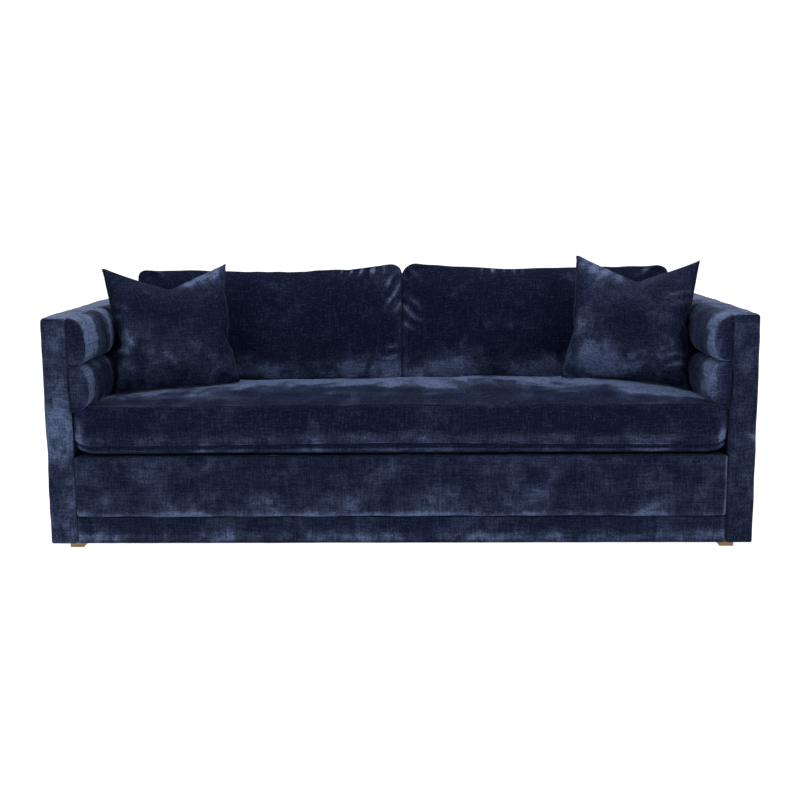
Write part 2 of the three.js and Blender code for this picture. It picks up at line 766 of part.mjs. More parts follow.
// A knife-edged pillow, standing on its lower edge in its own plane: x across, z up, y through its thickness.
function pillowGeometry(size) {
  const half = size / 2;
  const full = (u, v) => Math.max(0, (1 - u ** 4) * (1 - v ** 4)) ** pillowFilling;
  const inChop = (u) => Math.exp(-(((u * half) / pillowChopWidth) ** 2));
  const place = (u, v, face) => {
    const sides = pillowSidePull * (1 - v * v) * u;
    const ends = (v > 0 ? 0 : pillowBottomPull) * (1 - u * u) * v;
    const chop = pillowChopDepth * inChop(u) * Math.max(0, v) ** 2;
    const pinch = 1 - pillowChopPinch * inChop(u) * Math.max(0, v) ** 3;
    const thick = (pillowEdgeThickness + (pillowThickness - pillowEdgeThickness) * full(u, v) * pinch) / 2;
    return [u * half - sides, face * thick, half + v * half - ends - chop];
  };
  const steps = pillowGrid;
  const share = (i) => Math.sin((Math.PI / 2) * ((2 * i) / steps - 1));
  const points = [];
  const faces = [];
  for (const face of [-1, 1]) {
    const start = points.length;
    for (let j = 0; j <= steps; j++) {
      for (let i = 0; i <= steps; i++) points.push(place(share(i), share(j), face));
    }
    for (let j = 0; j < steps; j++) {
      for (let i = 0; i < steps; i++) {
        const a = start + j * (steps + 1) + i;
        const [b, c, d] = [a + 1, a + steps + 2, a + steps + 1];
        faces.push(...(face < 0 ? [a, b, c, a, c, d] : [a, c, b, a, d, c]));
      }
    }
  }
  const row = steps + 1;
  const rim = [];
  for (let i = 0; i < steps; i++) rim.push(i);
  for (let j = 0; j < steps; j++) rim.push(j * row + steps);
  for (let i = steps; i > 0; i--) rim.push(steps * row + i);
  for (let j = steps; j > 0; j--) rim.push(j * row);
  rim.forEach((a, k) => {
    const b = rim[(k + 1) % rim.length];
    const [c, d] = [a + row * row, b + row * row];
    faces.push(a, d, b, a, c, d);
  });
  const geometry = new THREE.BufferGeometry();
  geometry.setAttribute("position", new THREE.Float32BufferAttribute(points.flat(), 3));
  geometry.setIndex(faces);
  geometry.computeVertexNormals();
  return geometry;
}

// The pillow in its place, its lower edge on the seat cushion.
function makePillow(side) {
  const { size, inset, forward, turn, lean, roll } = pillowPlaces[side];
  const pillow = mesh(`throw_pillow_${side}`, pillowGeometry(size), velvet);
  pillow.rotation.set(
    THREE.MathUtils.degToRad(-lean),
    THREE.MathUtils.degToRad(roll),
    THREE.MathUtils.degToRad(turn),
    "ZXY",
  );
  const x = (armInnerX - inset) * (side === "left" ? -1 : 1);
  pillow.position.set(x, -forward, seatCushionTop - pillowSink);
  return pillow;
}

// A foot's outline tapers on its inner sides only; towards gives the corner that it stands in.
function footGeometry(towardsX, towardsY) {
  const square = (width, z) => {
    const shift = (footTopWidth - width) / 2;
    const [cx, cy] = [towardsX * shift, towardsY * shift];
    const h = width / 2;
    return [[cx - h, cy - h, z], [cx + h, cy - h, z], [cx + h, cy + h, z], [cx - h, cy + h, z]];
  };
  const bottom = square(footTopWidth - footTaper, 0);
  const top = square(footTopWidth, footHeight);
  const middle = (ring) => ring.reduce((sum, p) => sum.map((s, i) => s + p[i] / ring.length), [0, 0, 0]);
  return loft([bottom, top], middle(bottom), middle(top));
}

// A round bar standing on end.
function upright(radius, z0, z1) {
  const post = new THREE.CylinderGeometry(radius, radius, z1 - z0, boltSides);
  return post.rotateX(Math.PI / 2).translate(0, 0, (z0 + z1) / 2);
}

// Feet, the plates that carry them, their bolts, and the dust cloth with its holes.
function makeFeet() {
  const feet = new THREE.Group();
  const footX = outerX - footSideInset - footTopWidth / 2;
  const footY = overallDepth / 2 - footFrontInset - footTopWidth / 2;
  const plateX = frameOuterX - footPlateWidth / 2;
  const plateY = -(seatRailFrontY + footPlateDepth / 2);
  const places = {
    front_left: [-1, -1],
    front_right: [1, -1],
    rear_left: [-1, 1],
    rear_right: [1, 1],
    centre: [0, 0],
  };
  const [boltLow, boltHigh] = [footHeight - boltFootDepth, plateBottom + boltPlateDepth];
  const hole = (low, high) => upright(boltRadius + boltHoleClearance, low, high);
  const holes = [];
  for (const [place, [towardsX, towardsY]] of Object.entries(places)) {
    const [x, y] = [towardsX * footX, towardsY * footY];
    const foot = cut(footGeometry(towardsX, towardsY), hole(boltLow - fit, footHeight + overrun));
    const bolt = upright(boltRadius, boltLow, boltHigh);
    const centre = [towardsX * plateX, towardsY * plateY];
    const plate = cut(
      blockGeometry(
        [centre[0] - footPlateWidth / 2, centre[0] + footPlateWidth / 2],
        [centre[1] - footPlateDepth / 2, centre[1] + footPlateDepth / 2],
        [plateBottom, plateTop],
      ),
      hole(plateBottom - overrun, plateTop + overrun).translate(x, y, 0),
    );
    feet.add(
      mesh(`foot_${place}`, foot.translate(x, y, 0), footWood),
      mesh(`foot_bolt_${place}`, bolt.translate(x, y, 0), steel),
      mesh(`foot_plate_${place}`, plate, hardwood),
    );
    holes.push(hole(dustClothBottom - overrun, plateBottom).translate(x, y, 0));
  }
  const cloth = blockGeometry(
    [-frameOuterX, frameOuterX],
    [seatRailFrontY, frameRearY],
    [dustClothBottom, dustClothBottom + dustClothThickness],
  );
  feet.add(mesh("dust_cloth", cut(cloth, ...holes), dustCloth));
  return feet;
}

const sofa = new THREE.Group();
const leftArm = makeArm("left");
leftArm.scale.x = -1;
sofa.add(leftArm, makeArm("right"), makeBase(), ...makeFrontCovers(), makeBack(), makeSprings(), makeSeat());
sofa.add(makeBackCushion("back_cushion_left", -1), makeBackCushion("back_cushion_right", 1));
sofa.add(makePillow("left"), makePillow("right"), makeFeet());

export default sofa;
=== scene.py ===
"""Upholsters a tuxedo sofa's frame in crushed velvet, and sets it on a studio floor."""

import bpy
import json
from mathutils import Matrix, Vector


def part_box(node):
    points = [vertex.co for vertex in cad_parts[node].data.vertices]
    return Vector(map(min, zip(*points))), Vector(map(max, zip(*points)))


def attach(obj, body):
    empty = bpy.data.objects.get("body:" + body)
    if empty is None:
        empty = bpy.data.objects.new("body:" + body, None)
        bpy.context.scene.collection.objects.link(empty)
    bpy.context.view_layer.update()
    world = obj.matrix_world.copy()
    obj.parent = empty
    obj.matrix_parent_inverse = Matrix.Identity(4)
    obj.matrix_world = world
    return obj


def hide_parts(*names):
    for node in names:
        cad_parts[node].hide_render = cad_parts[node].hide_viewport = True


bl_info = {
    "name": "Tuxedo sofa upholstery",
    "version": (1, 0, 0),
    "blender": (4, 5, 0),
    "location": "View3D > Sidebar > Sofa",
    "description": "Covers the sofa's frame in crushed velvet and sets it on a studio floor",
    "category": "Object",
}

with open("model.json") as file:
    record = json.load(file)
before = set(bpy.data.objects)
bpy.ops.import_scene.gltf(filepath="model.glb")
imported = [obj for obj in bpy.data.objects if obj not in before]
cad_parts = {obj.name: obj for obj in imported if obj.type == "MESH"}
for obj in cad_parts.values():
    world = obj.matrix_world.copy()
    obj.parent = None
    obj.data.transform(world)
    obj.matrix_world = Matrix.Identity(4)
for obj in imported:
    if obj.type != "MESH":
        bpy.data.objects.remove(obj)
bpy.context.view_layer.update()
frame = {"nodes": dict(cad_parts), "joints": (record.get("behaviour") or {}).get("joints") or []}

import json
import math

import bpy
import numpy as np
from mathutils import Matrix, Vector

# The sign of x on each side
SIDES = {"left": -1, "right": 1}
MM = 0.001


# Sizes and colours that a user would change, in metres and linear colour

def length(name, description, default):
    """A size in metres."""
    return bpy.props.FloatProperty(
        name=name, description=description, default=default, unit="LENGTH", subtype="DISTANCE", precision=4
    )


def colour(name, description, default):
    """A colour in linear light."""
    return bpy.props.FloatVectorProperty(
        name=name, description=description, default=default, size=3, subtype="COLOR", min=0, max=1
    )


def factor(name, description, default, top=1.0):
    """A plain share."""
    return bpy.props.FloatProperty(name=name, description=description, default=default, min=0, max=top)


def degrees(name, description, default):
    """An angle, given here in degrees."""
    return bpy.props.FloatProperty(
        name=name, description=description, default=math.radians(default), unit="ROTATION", subtype="ANGLE"
    )


class VelvetSettings(bpy.types.PropertyGroup):
    """Crushed velvet: its colours, its threads and the patches where the pile is pressed"""

    deep: colour("Deep", "Colour of the standing pile", (0.0029, 0.0050, 0.0182))
    # The colour of pressed pile, which is also that of the painted highlights and painted sheen
    worn_and_lit: colour("Worn", "Colour where the pile is pressed", (0.088, 0.118, 0.220))
    thread: length("Thread", "Width of the slubs that show through the pile", 0.0042)
    slub: length("Slub", "Length of those slubs", 0.050)
    patch: length("Patch", "Width of a pressed patch", 0.085)
    sheen: factor("Sheen", "Strength of the glow at grazing angles", 0.155)
    sheen_roughness: factor("Sheen roughness", "How far that glow spreads", 0.20)
    sheen_tint: colour("Sheen tint", "Colour of that glow", (0.46, 0.62, 1.0))


class CoverSettings(bpy.types.PropertyGroup):
    """Covers stretched over the frame"""

    edge_round: length("Edge round", "Radius of the padded edges", 0.012)
    puff: length("Puff", "How far the padding swells each panel", 0.0022)
    cloth: length("Thickness", "Cloth with its padding", 0.010)
    rail_round: length("Rail round", "Radius of the front rail's upper edge", 0.015)
    hem: length("Hem", "Height of the hem's stitching over the lower edge", 0.008)
    lip: length("Lip", "How far the back's cover turns down over its front edge", 0.0095)
    band_drop: length("Band drop", "How far the band's padding sags below its board", 0.004)


class ChannelSettings(bpy.types.PropertyGroup):
    """Padded channels along the inside of the arms"""

    projection: length("Projection", "How far a channel stands out from the arm", 0.058)
    seam_y: length("Seam", "Where the upright seam draws the channels in", -0.078)
    reach: length("Reach", "Distance from the seam to the channel's full size", 0.050)
    seam_share: factor("Seam share", "Share of the projection that is left at the seam", 0.16)
    end_left: length("Left end", "Radius of the rim round the left front panels", 0.009)
    end_right: length("Right end", "Radius of the rim round the right front panels", 0.034)
    fold: length("Fold", "Depth of the upright folds", 0.0010)
    pit: length("Pit", "How far the rows fall away from each other at the seam", 0.034)
    pit_reach: length("Pit reach", "Distance from the seam at which they begin to", 0.095)


class SeatSettings(bpy.types.PropertyGroup):
    """The bench seat cushion"""

    boxing: length("Boxing", "Height between the two seams", 0.1325)
    crown: length("Crown", "Rise of the top over its seam", 0.032)
    fuller: length("Fuller", "Further rise near the right end", 0.010)
    uneven: length("Uneven", "Rise and fall to both sides of the middle", 0.005)
    crest: factor("Crest", "Where the top is highest, as a share from the front to the back", 0.61)
    behind: factor("Behind", "Share of that rise that is left under the back cushions' front edge", 0.45)
    under: length("Under", "Fall of the underside below its seam", 0.0205)
    under_round: length("Under round", "Width of the rounding below that seam", 0.024)
    bow: length("Bow", "How much higher the lower seam runs in the middle", 0.008)
    corner: length("Corner", "Radius of the corners seen from above", 0.022)
    corner_width: length("Corner width", "Width of the rounded lower front corners", 0.066)
    corner_rise: length("Corner rise", "Height of those corners", 0.036)
    side_drop: length("Side drop", "How much lower the upper seam lies at the arms", 0.011)


class BackCushionSettings(bpy.types.PropertyGroup):
    """The two loose back cushions"""

    boxing: length("Boxing", "Depth between the two seams", 0.192)
    crown: length("Crown", "Swell of the front", 0.044)
    rear_crown: length("Rear crown", "Swell of the rear", 0.012)
    corner: length("Corner", "Radius of the corners", 0.052)
    top_pull: length("Top pull", "How far the top sinks between its corners", 0.022)
    settle: degrees("Settle", "How far the underside turns down to the front", 3)
    side_pull: length("Side pull", "How far the outer sides are drawn in", 0.007)
    inner_swell: length("Inner swell", "How far the sides that face each other swell out", 0.002)
    gathered: bpy.props.FloatVectorProperty(
        name="Gathered",
        description="Where the left and the right top edge are gathered, as shares towards the inner side",
        size=4,
        default=(0.42, 0.92, 0.0, 0.52),
    )


class PillowSettings(bpy.types.PropertyGroup):
    """The two knife-edged corner pillows"""

    turn: degrees("Turn", "How far the pillows are turned to face each other", 21.5)
    lean_left: degrees("Left lean", "How far the left pillow leans back", 17)
    lean_right: degrees("Right lean", "How far the right pillow leans back", 15.5)
    roll: degrees("Roll", "How far the pillows tip outwards", 1.4)
    thickness: length("Thickness", "Thickness in the middle", 0.138)
    straight: length("Straight", "How far the sides that face each other are filled out", 0.009)
    drawn_up: length("Drawn up", "How far the middle of the right pillow's lower edge is drawn up", 0.015)
    taper: factor("Taper", "How much narrower the right pillow's top is", 0.03)
    chop: length("Chop", "Depth of the dent in the top edge", 0.088)
    chop_width: length("Chop width", "Half width of that dent", 0.105)
    chop_aside: factor("Chop aside", "How far the dent lies off the middle, as a share", 0.03)
    chop_reach: factor("Chop reach", "How far the dent reaches to the corners, as a share", 0.98)


class StageSettings(bpy.types.PropertyGroup):
    """Camera, floor and lights"""

    floor: colour("Floor", "Colour of the floor, which also glows", (0.35, 0.35, 0.35))
    wall: factor("Wall", "Brightness of the white wall behind", 1.02, 10)
    front: factor("Front", "Brightness of the room in front", 0.28, 10)
    camera_x: length("Camera x", "Camera sideways", 0.0848)
    camera_y: length("Camera y", "Camera in front", -4.2672)
    camera_z: length("Camera z", "Camera height", 1.0866)
    tilt: degrees("Tilt", "How far the camera looks down", 9.0445)
    turn: degrees("Turn", "How far the camera is turned to the left", 1.2213)
    roll: degrees("Roll", "How far the camera is rolled to the right", 0.4404)


class SofaSettings(bpy.types.PropertyGroup):
    """Everything that can be set on the sofa"""

    velvet: bpy.props.PointerProperty(type=VelvetSettings)
    cover: bpy.props.PointerProperty(type=CoverSettings)
    channel: bpy.props.PointerProperty(type=ChannelSettings)
    seat: bpy.props.PointerProperty(type=SeatSettings)
    back_cushion: bpy.props.PointerProperty(type=BackCushionSettings)
    pillow: bpy.props.PointerProperty(type=PillowSettings)
    stage: bpy.props.PointerProperty(type=StageSettings)


# Shader maths

class Value:
    """A shader socket that takes part in Python expressions."""

    def __init__(self, nodes, socket):
        self.nodes = nodes
        self.socket = socket

    def _math(self, operation, first, second):
        return self.nodes.node("ShaderNodeMath", {"operation": operation}, {0: first, 1: second})

    def __add__(self, other):
        return self._math("ADD", self, other)

    def __sub__(self, other):
        return self._math("SUBTRACT", self, other)

    def __rsub__(self, other):
        return self._math("SUBTRACT", other, self)

    def __mul__(self, other):
        return self._math("MULTIPLY", self, other)

    __radd__ = __add__
    __rmul__ = __mul__


class Nodes:
    """A node tree while it is laid out."""

    def __init__(self, tree):
        self.tree = tree

    def node(self, kind, settings=None, inputs=None, output=0):
        """Adds a node: its settings first, then the values or links of its sockets."""
        made = self.tree.nodes.new(kind)
        for key, value in (settings or {}).items():
            setattr(made, key, value)
        for key, value in (inputs or {}).items():
            self.feed(made.inputs[key], value)
        return Value(self, made.outputs[output])

    def feed(self, socket, value):
        """Sets a socket, or links it."""
        if isinstance(value, Value):
            self.tree.links.new(value.socket, socket)
        else:
            socket.default_value = value


class Finish(Nodes):
    """A material while its nodes are laid out."""

    def __init__(self, name):
        self.material = bpy.data.materials.new(name)
        self.material.use_nodes = True
        super().__init__(self.material.node_tree)
        self.shader = self.tree.nodes["Principled BSDF"]

    def surface(self, **inputs):
        """Sets the shader's own sockets, named with _ for a space."""
        for key, value in inputs.items():
            if key in ("Base_Color", "Sheen_Tint") and not isinstance(value, Value):
                value = (*value, 1)
            self.feed(self.shader.inputs[key.replace("_", " ")], value)

    def attribute(self, name, output="Fac"):
        """What a piece carries at each point."""
        return self.node("ShaderNodeAttribute", {"attribute_name": name}, output=output)

    def place(self):
        """The point's place in the object's own coordinates."""
        return self.node("ShaderNodeTexCoord", output="Object")

    def stretched(self, vector, scale):
        """A place, with each of its axes scaled."""
        return self.node("ShaderNodeVectorMath", {"operation": "MULTIPLY"}, {0: vector, 1: scale})

    def noise(self, vector, scale, detail=2.0, roughness=0.5, distortion=0.0):
        """Smooth noise about 0.5."""
        inputs = {"Vector": vector, "Scale": scale, "Detail": detail, "Roughness": roughness}
        return self.node("ShaderNodeTexNoise", None, {**inputs, "Distortion": distortion})

    def between(self, value, low, high):
        """Runs smoothly from 0 at low to 1 at high."""
        inputs = {"Value": value, "From Min": low, "From Max": high}
        return self.node("ShaderNodeMapRange", {"interpolation_type": "SMOOTHSTEP"}, inputs)

    def mixed(self, share, first, second):
        """A colour between two, which are colours or links."""
        first, second = (c if isinstance(c, Value) else (*c, 1) for c in (first, second))
        settings = {"data_type": "RGBA", "clamp_factor": True}
        return self.node("ShaderNodeMix", settings, {0: share, 6: first, 7: second}, output=2)

    def bumped(self, height, distance, strength):
        """The surface's normal over small unevenness."""
        inputs = {"Height": height, "Distance": distance, "Strength": strength}
        return self.node("ShaderNodeBump", None, inputs)


# How far the pile is pressed where a piece doesn't say: 0 is standing, 1 is flat
USUAL_PRESS = 0.4


def velvet():
    """Crushed velvet, laid out once for all the pieces that wear it.

    Each of them carries two attributes for it: the cloth's own coordinates, and how far its pile is pressed,
    which also carries painted light and shade: painted highlights, painted sheen and painted shadow.
    """
    if "crushed velvet" in bpy.data.materials:
        return bpy.data.materials["crushed velvet"]
    look = bpy.context.scene.tuxedo_sofa.velvet
    f = Finish("crushed velvet")
    cloth = f.attribute("cloth", "Vector")
    pressed = f.attribute("pressed")

    # Slubs along all three ways, so that every panel shows some, and a fine grain between them
    across, along = 1 / look.thread, 1 / look.slub
    slubs = [
        f.noise(f.stretched(cloth, scale), 1.0, detail=1.0, roughness=0.6)
        for scale in ((along, across, across), (across, along, across), (across, across, along))
    ]
    weave = (slubs[0] + slubs[1] + slubs[2]) * (1 / 3)
    grain = f.noise(cloth, 0.8 / look.thread, detail=1.0, roughness=0.7)

    # Where the pile lies flat, together with the light and shade painted into the pressed attribute: a light
    # core with a haze round it
    clouds = f.noise(cloth, 0.50 / look.patch, detail=3.0, roughness=0.55, distortion=0.3)
    blots = f.noise(cloth, 1.6 / look.patch, detail=4.0, roughness=0.62, distortion=0.5)
    nap_and_painted_light = clouds * 0.60 + blots * 0.40 + (pressed - USUAL_PRESS) * 0.34
    haze = f.between(nap_and_painted_light, 0.42, 0.72)
    cores = f.between(nap_and_painted_light, 0.58, 0.76)

    # Threads break up the patches. Where the pile stands, only the boldest of them catch the light
    threads = f.between(weave + (grain - 0.5) * 0.42, 0.36, 0.66)
    flattened = f.between(pressed, 0.0, 0.35)
    raised_threads = f.between(threads, 0.55 - flattened * 0.55, 1.0)
    tone = (haze * 0.34 + cores * 0.66) * (0.44 + threads * 0.66) + raised_threads * 0.105
    patches = haze * 0.5 + cores * 0.5
    f.surface(
        Base_Color=f.mixed(tone, look.deep, look.worn_and_lit),
        Roughness=0.82 - patches * 0.18,
        Sheen_Weight=look.sheen,
        Sheen_Tint=look.sheen_tint,
        Sheen_Roughness=look.sheen_roughness,
        Specular_IOR_Level=0.04,
        Normal=f.bumped(weave + nap_and_painted_light * 1.6 + grain * 0.3, distance=1.6 * MM, strength=0.9),
    )
    return f.material


def wood(name, light, dark, ring, roughness):
    """Plain sawn wood: long grain, fine pores."""
    f = Finish(name)
    grain_along = f.stretched(f.place(), (1.0, 12.0, 12.0))
    bands = f.noise(grain_along, ring, detail=4.0, roughness=0.6, distortion=1.2)
    pores = f.noise(f.stretched(f.place(), (1.0, 30.0, 30.0)), ring * 6, detail=2.0, roughness=0.7)
    tone = f.between(bands * 0.75 + pores * 0.25, 0.3, 0.7)
    f.surface(
        Base_Color=f.mixed(tone, light, dark),
        Roughness=roughness + pores * 0.15,
        Normal=f.bumped(pores, distance=0.3 * MM, strength=0.4),
    )
    return f.material


def woven(name, base, thread_colour, pitch):
    """Plain woven cloth, with its threads across each other."""
    f = Finish(name)
    ribs = f.noise(f.stretched(f.place(), (1.0, 0.12, 1.0)), 1 / pitch, detail=1.0)
    picks = f.noise(f.stretched(f.place(), (0.12, 1.0, 0.12)), 1 / pitch, detail=1.0)
    threads = (ribs + picks) * 0.5
    f.surface(
        Base_Color=f.mixed(f.between(threads, 0.35, 0.65), base, thread_colour),
        Roughness=0.92,
        Normal=f.bumped(threads, distance=0.6 * MM, strength=0.6),
    )
    return f.material


def steel():
    """Drawn spring steel with a dull, slightly stained surface."""
    f = Finish("steel")
    stain = f.noise(f.place(), 40.0, detail=4.0, roughness=0.6)
    scratches = f.noise(f.place(), 900.0)
    f.surface(
        Base_Color=f.mixed(stain, (0.42, 0.42, 0.43), (0.27, 0.26, 0.25)),
        Metallic=1.0,
        Roughness=0.3 + stain * 0.25,
        Normal=f.bumped(scratches, distance=0.2 * MM, strength=0.3),
    )
    return f.material


def foam():
    """Open-celled cushion foam."""
    f = Finish("foam")
    cells = f.noise(f.place(), 700.0, detail=2.0, roughness=0.7)
    f.surface(
        Base_Color=f.mixed(cells, (0.78, 0.71, 0.48), (0.6, 0.53, 0.33)),
        Roughness=0.95,
        Normal=f.bumped(cells, distance=0.8 * MM, strength=0.8),
    )
    return f.material


# Soft forms

def stations(span, step, near=()):
    """Places from -1 to 1 along a span: even steps, with lines at the given distances from both ends."""
    close = [end * (1 - 2 * d / span) for d in near for end in (-1, 1)]
    free = 1 - 2 * max(near, default=0) / span - step / span
    even = np.linspace(-1, 1, max(2, round(span / step)) + 1)
    return np.array(sorted({-1.0, 1.0, *close, *(s for s in even if abs(s) < free)}))


class Form:
    """The points and faces of one piece while it is shaped.

    unit holds where each point began on a cube that reaches from -1 to 1. Its columns are called a, b and c.
    pressed is how far the pile is pressed at each point, with painted light and shade added to it, and
    stretch how far its cloth is moved.
    """

    def __init__(self, unit, quads, caps=()):
        self.unit = unit
        self.points = unit.copy()
        self.quads = quads
        self.caps = list(caps)
        self.pressed = np.full(len(unit), USUAL_PRESS)
        self.stretch = np.zeros_like(unit)

    def normals(self):
        """The direction that each point faces."""
        a, b, c, d = (self.points[self.quads[:, k]] for k in range(4))
        face = np.cross(c - a, d - b)
        total = np.zeros_like(self.points)
        for k in range(4):
            np.add.at(total, self.quads[:, k], face)
        return total / np.maximum(np.linalg.norm(total, axis=1, keepdims=True), 1e-12)

    def push(self, amount):
        """Moves every point along its normal."""
        self.points = self.points + self.normals() * np.broadcast_to(amount, len(self.points))[:, None]

    def keep(self, kept):
        """Keeps only the faces whose points are all kept."""
        self.quads = self.quads[kept[self.quads].all(axis=1)]
        used = np.unique(self.quads)
        new = np.full(len(self.points), -1)
        new[used] = np.arange(len(used))
        self.quads = new[self.quads]
        self.unit, self.points, self.pressed = self.unit[used], self.points[used], self.pressed[used]
        self.stretch = self.stretch[used]

    def build(self, name, material, axes=None, drift=0):
        """Makes the object, and lays the cloth's coordinates on it.

        They run along the piece's own axes, and drift shifts them, so that no two pieces look alike.
        """
        axes = np.eye(3) if axes is None else axes
        mesh = bpy.data.meshes.new(name)
        faces = [*self.quads.tolist(), *self.caps]
        mesh.from_pydata((self.points @ axes.T).tolist(), [], faces)
        mesh.polygons.foreach_set("use_smooth", np.ones(len(mesh.polygons), bool))
        cloth = mesh.attributes.new("cloth", "FLOAT_VECTOR", "POINT")
        shift = drift * np.array([1.7, 2.3, 3.1])
        laid = self.points + self.stretch + shift
        cloth.data.foreach_set("vector", laid.astype(np.float32).ravel())
        pressed = mesh.attributes.new("pressed", "FLOAT", "POINT")
        pressed.data.foreach_set("value", self.pressed.astype(np.float32))
        mesh.materials.append(material)
        made = bpy.data.objects.new(name, mesh)
        bpy.context.scene.collection.objects.link(made)
        return made


def shell(xs, ys, zs):
    """The closed skin of a cube with lines at the given stations."""
    shape = (len(xs), len(ys), len(zs))
    outer = np.ones(shape, bool)
    outer[1:-1, 1:-1, 1:-1] = False
    index = np.full(shape, -1)
    index[outer] = np.arange(outer.sum())
    i, j, k = np.nonzero(outer)
    quads = []
    for axis in range(3):
        for end in (0, -1):
            face = np.take(index, end, axis)
            corners = [face[:-1, :-1], face[1:, :-1], face[1:, 1:], face[:-1, 1:]]
            quad = np.stack(corners, -1).reshape(-1, 4)
            turned = (end == 0) != (axis == 1)
            quads.append(quad[:, ::-1] if turned else quad)
    return Form(np.stack([xs[i], ys[j], zs[k]], 1), np.concatenate(quads))


def round_off(reach, half, radius):
    """Rounds the edges of a box about the origin, from points on it and its half sizes."""
    core = np.clip(reach, radius - half, half - radius)
    out = reach - core
    longest, straight = np.abs(out).max(1), np.linalg.norm(out, axis=1)
    scale = np.divide(longest, straight, out=np.ones_like(straight), where=straight > 0)
    return core + out * scale[:, None]


def rounded(unit, low, high, radius):
    """A block between two corners, with its edges and corners rounded."""
    low, high = np.array(low), np.array(high)
    middle, half = (low + high) / 2, (high - low) / 2
    return middle + round_off(unit * half, half, radius)


def ripple(points, wave, seed):
    """Smooth unevenness between about -1 and 1, with hollows about a wave apart."""
    waves = 14
    random = np.random.default_rng(seed)
    total = np.zeros(len(points))
    for _ in range(waves):
        way = random.normal(size=3)
        way *= 2 * math.pi / (wave * random.uniform(0.7, 1.5) * np.linalg.norm(way))
        total += np.cos(points @ way + random.uniform(0, 2 * math.pi))
    return total / math.sqrt(waves)


def unevenness(points, *ripples):
    """Several ripples together. Each has its depth and its wave in millimetres, and its seed."""
    return sum(depth * MM * ripple(points, wave * MM, seed) for depth, wave, seed in ripples)


def bell(distance, width):
    """1 at no distance, and nearly nothing past twice the width."""
    return np.exp(-((distance / width) ** 2))


def crease(points, start, end, width, depth):
    """A fold from start to end that fades at both ends: a valley with a ridge beside it."""
    ridge_share, ridge_place = 0.6, 2.0
    way = end - start
    along = np.clip((points - start) @ way / (way @ way), 0, 1)
    beside = np.linalg.norm(points - start - along[:, None] * way, axis=1)
    fade = np.sin(np.pi * (0.08 + along * 0.84))
    return depth * fade * (ridge_share * bell(beside - ridge_place * width, width) - bell(beside, width))


def creases(points, half, folds, across=1):
    """All the folds of a panel about its middle.

    Each fold has its start and end as shares of the panel's half sizes, and then its width and depth in
    millimetres. across is 1 or -1: the way in which the shares count sideways.
    """
    total = np.zeros(len(points))
    for start, end, width, depth in folds:
        start, end = (np.array(place) * half * (across, 1) for place in (start, end))
        total += crease(points[:, :2], start, end, width * MM, depth * MM)
    return total


def seam(distance, nick, swell=1.2 * MM):
    """The normal offset beside a sewn seam: a nick, with the padding swelling next to it."""
    return swell * bell(distance - 8 * MM, 5 * MM) - nick * bell(distance, 2.4 * MM)


# The distances from a seam at which a form has lines, so that the seam shows in its shape
SEAM_LINES = tuple(d * MM for d in (1.2, 2.6, 4.5, 7, 10, 14, 19))


def slide_axis(joint):
    """The way that a joint slides."""
    return next(j["axis"] for j in frame["joints"] if j["name"] == joint)


class Axes:
    """The axes that a leaning or loose piece lies in, and its solid's corners along them."""

    def __init__(self, node, across, up):
        across, up = np.array(across, float), np.array(up, float)
        self.matrix = np.stack([across, up, np.cross(across, up)], 1)
        solid = frame["nodes"][node].data.vertices
        points = np.array([v.co for v in solid], float) @ self.matrix
        self.low, self.high = points.min(0), points.max(0)
        self.size = self.high - self.low
        self.middle = (self.low + self.high) / 2


def plan(unit, half, radius, pulls):
    """A cushion's outline, seen along its thickness: rounded corners, and sides drawn in between them."""
    a, b = unit[:, 0], unit[:, 1]
    sides, top, bottom = pulls
    drawn_across = sides * (1 - b**2) * a**5
    drawn_up = np.where(b > 0, top, bottom) * (1 - a**2) * b**5
    return round_off(unit[:, :2] * half, half, radius) - np.stack([drawn_across, drawn_up], 1)


def edge_share(unit, squareness):
    """0 in the middle of a panel and 1 at its edge."""
    a, b = np.abs(unit[:, 0]), np.abs(unit[:, 1])
    return np.minimum((a**squareness + b**squareness) ** (1 / squareness), 1)


def edge_distance(unit, half):
    """How far a panel's point is from its nearest edge."""
    return ((1 - np.abs(unit[:, :2])) * half).min(1)


# Covers on the frame

def dress(made, body, slot_name, *nodes, fill=None):
    """Attaches a finished piece to the body that it rides on, and hides the solids that it stands for.
    slot_name is not used.
    """
    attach(made, body)
    if nodes:
        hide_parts(*nodes)
    return made


def thicken(made, thickness):
    """Gives an open cover its thickness, inwards."""
    modifier = made.modifiers.new("padding", "SOLIDIFY")
    modifier.thickness = thickness
    modifier.offset = -1
    return made


# Lines beside a padded edge, as shares of its radius
EDGE_LINE_SHARES = (0.25, 0.5, 0.75, 1, 1.4, 1.9)

# Points closer to a line than this count as lying on it
HAIR = 0.01 * MM

# The stations across a piece with no lines between its two faces
THIN = np.array([-1.0, 1.0])


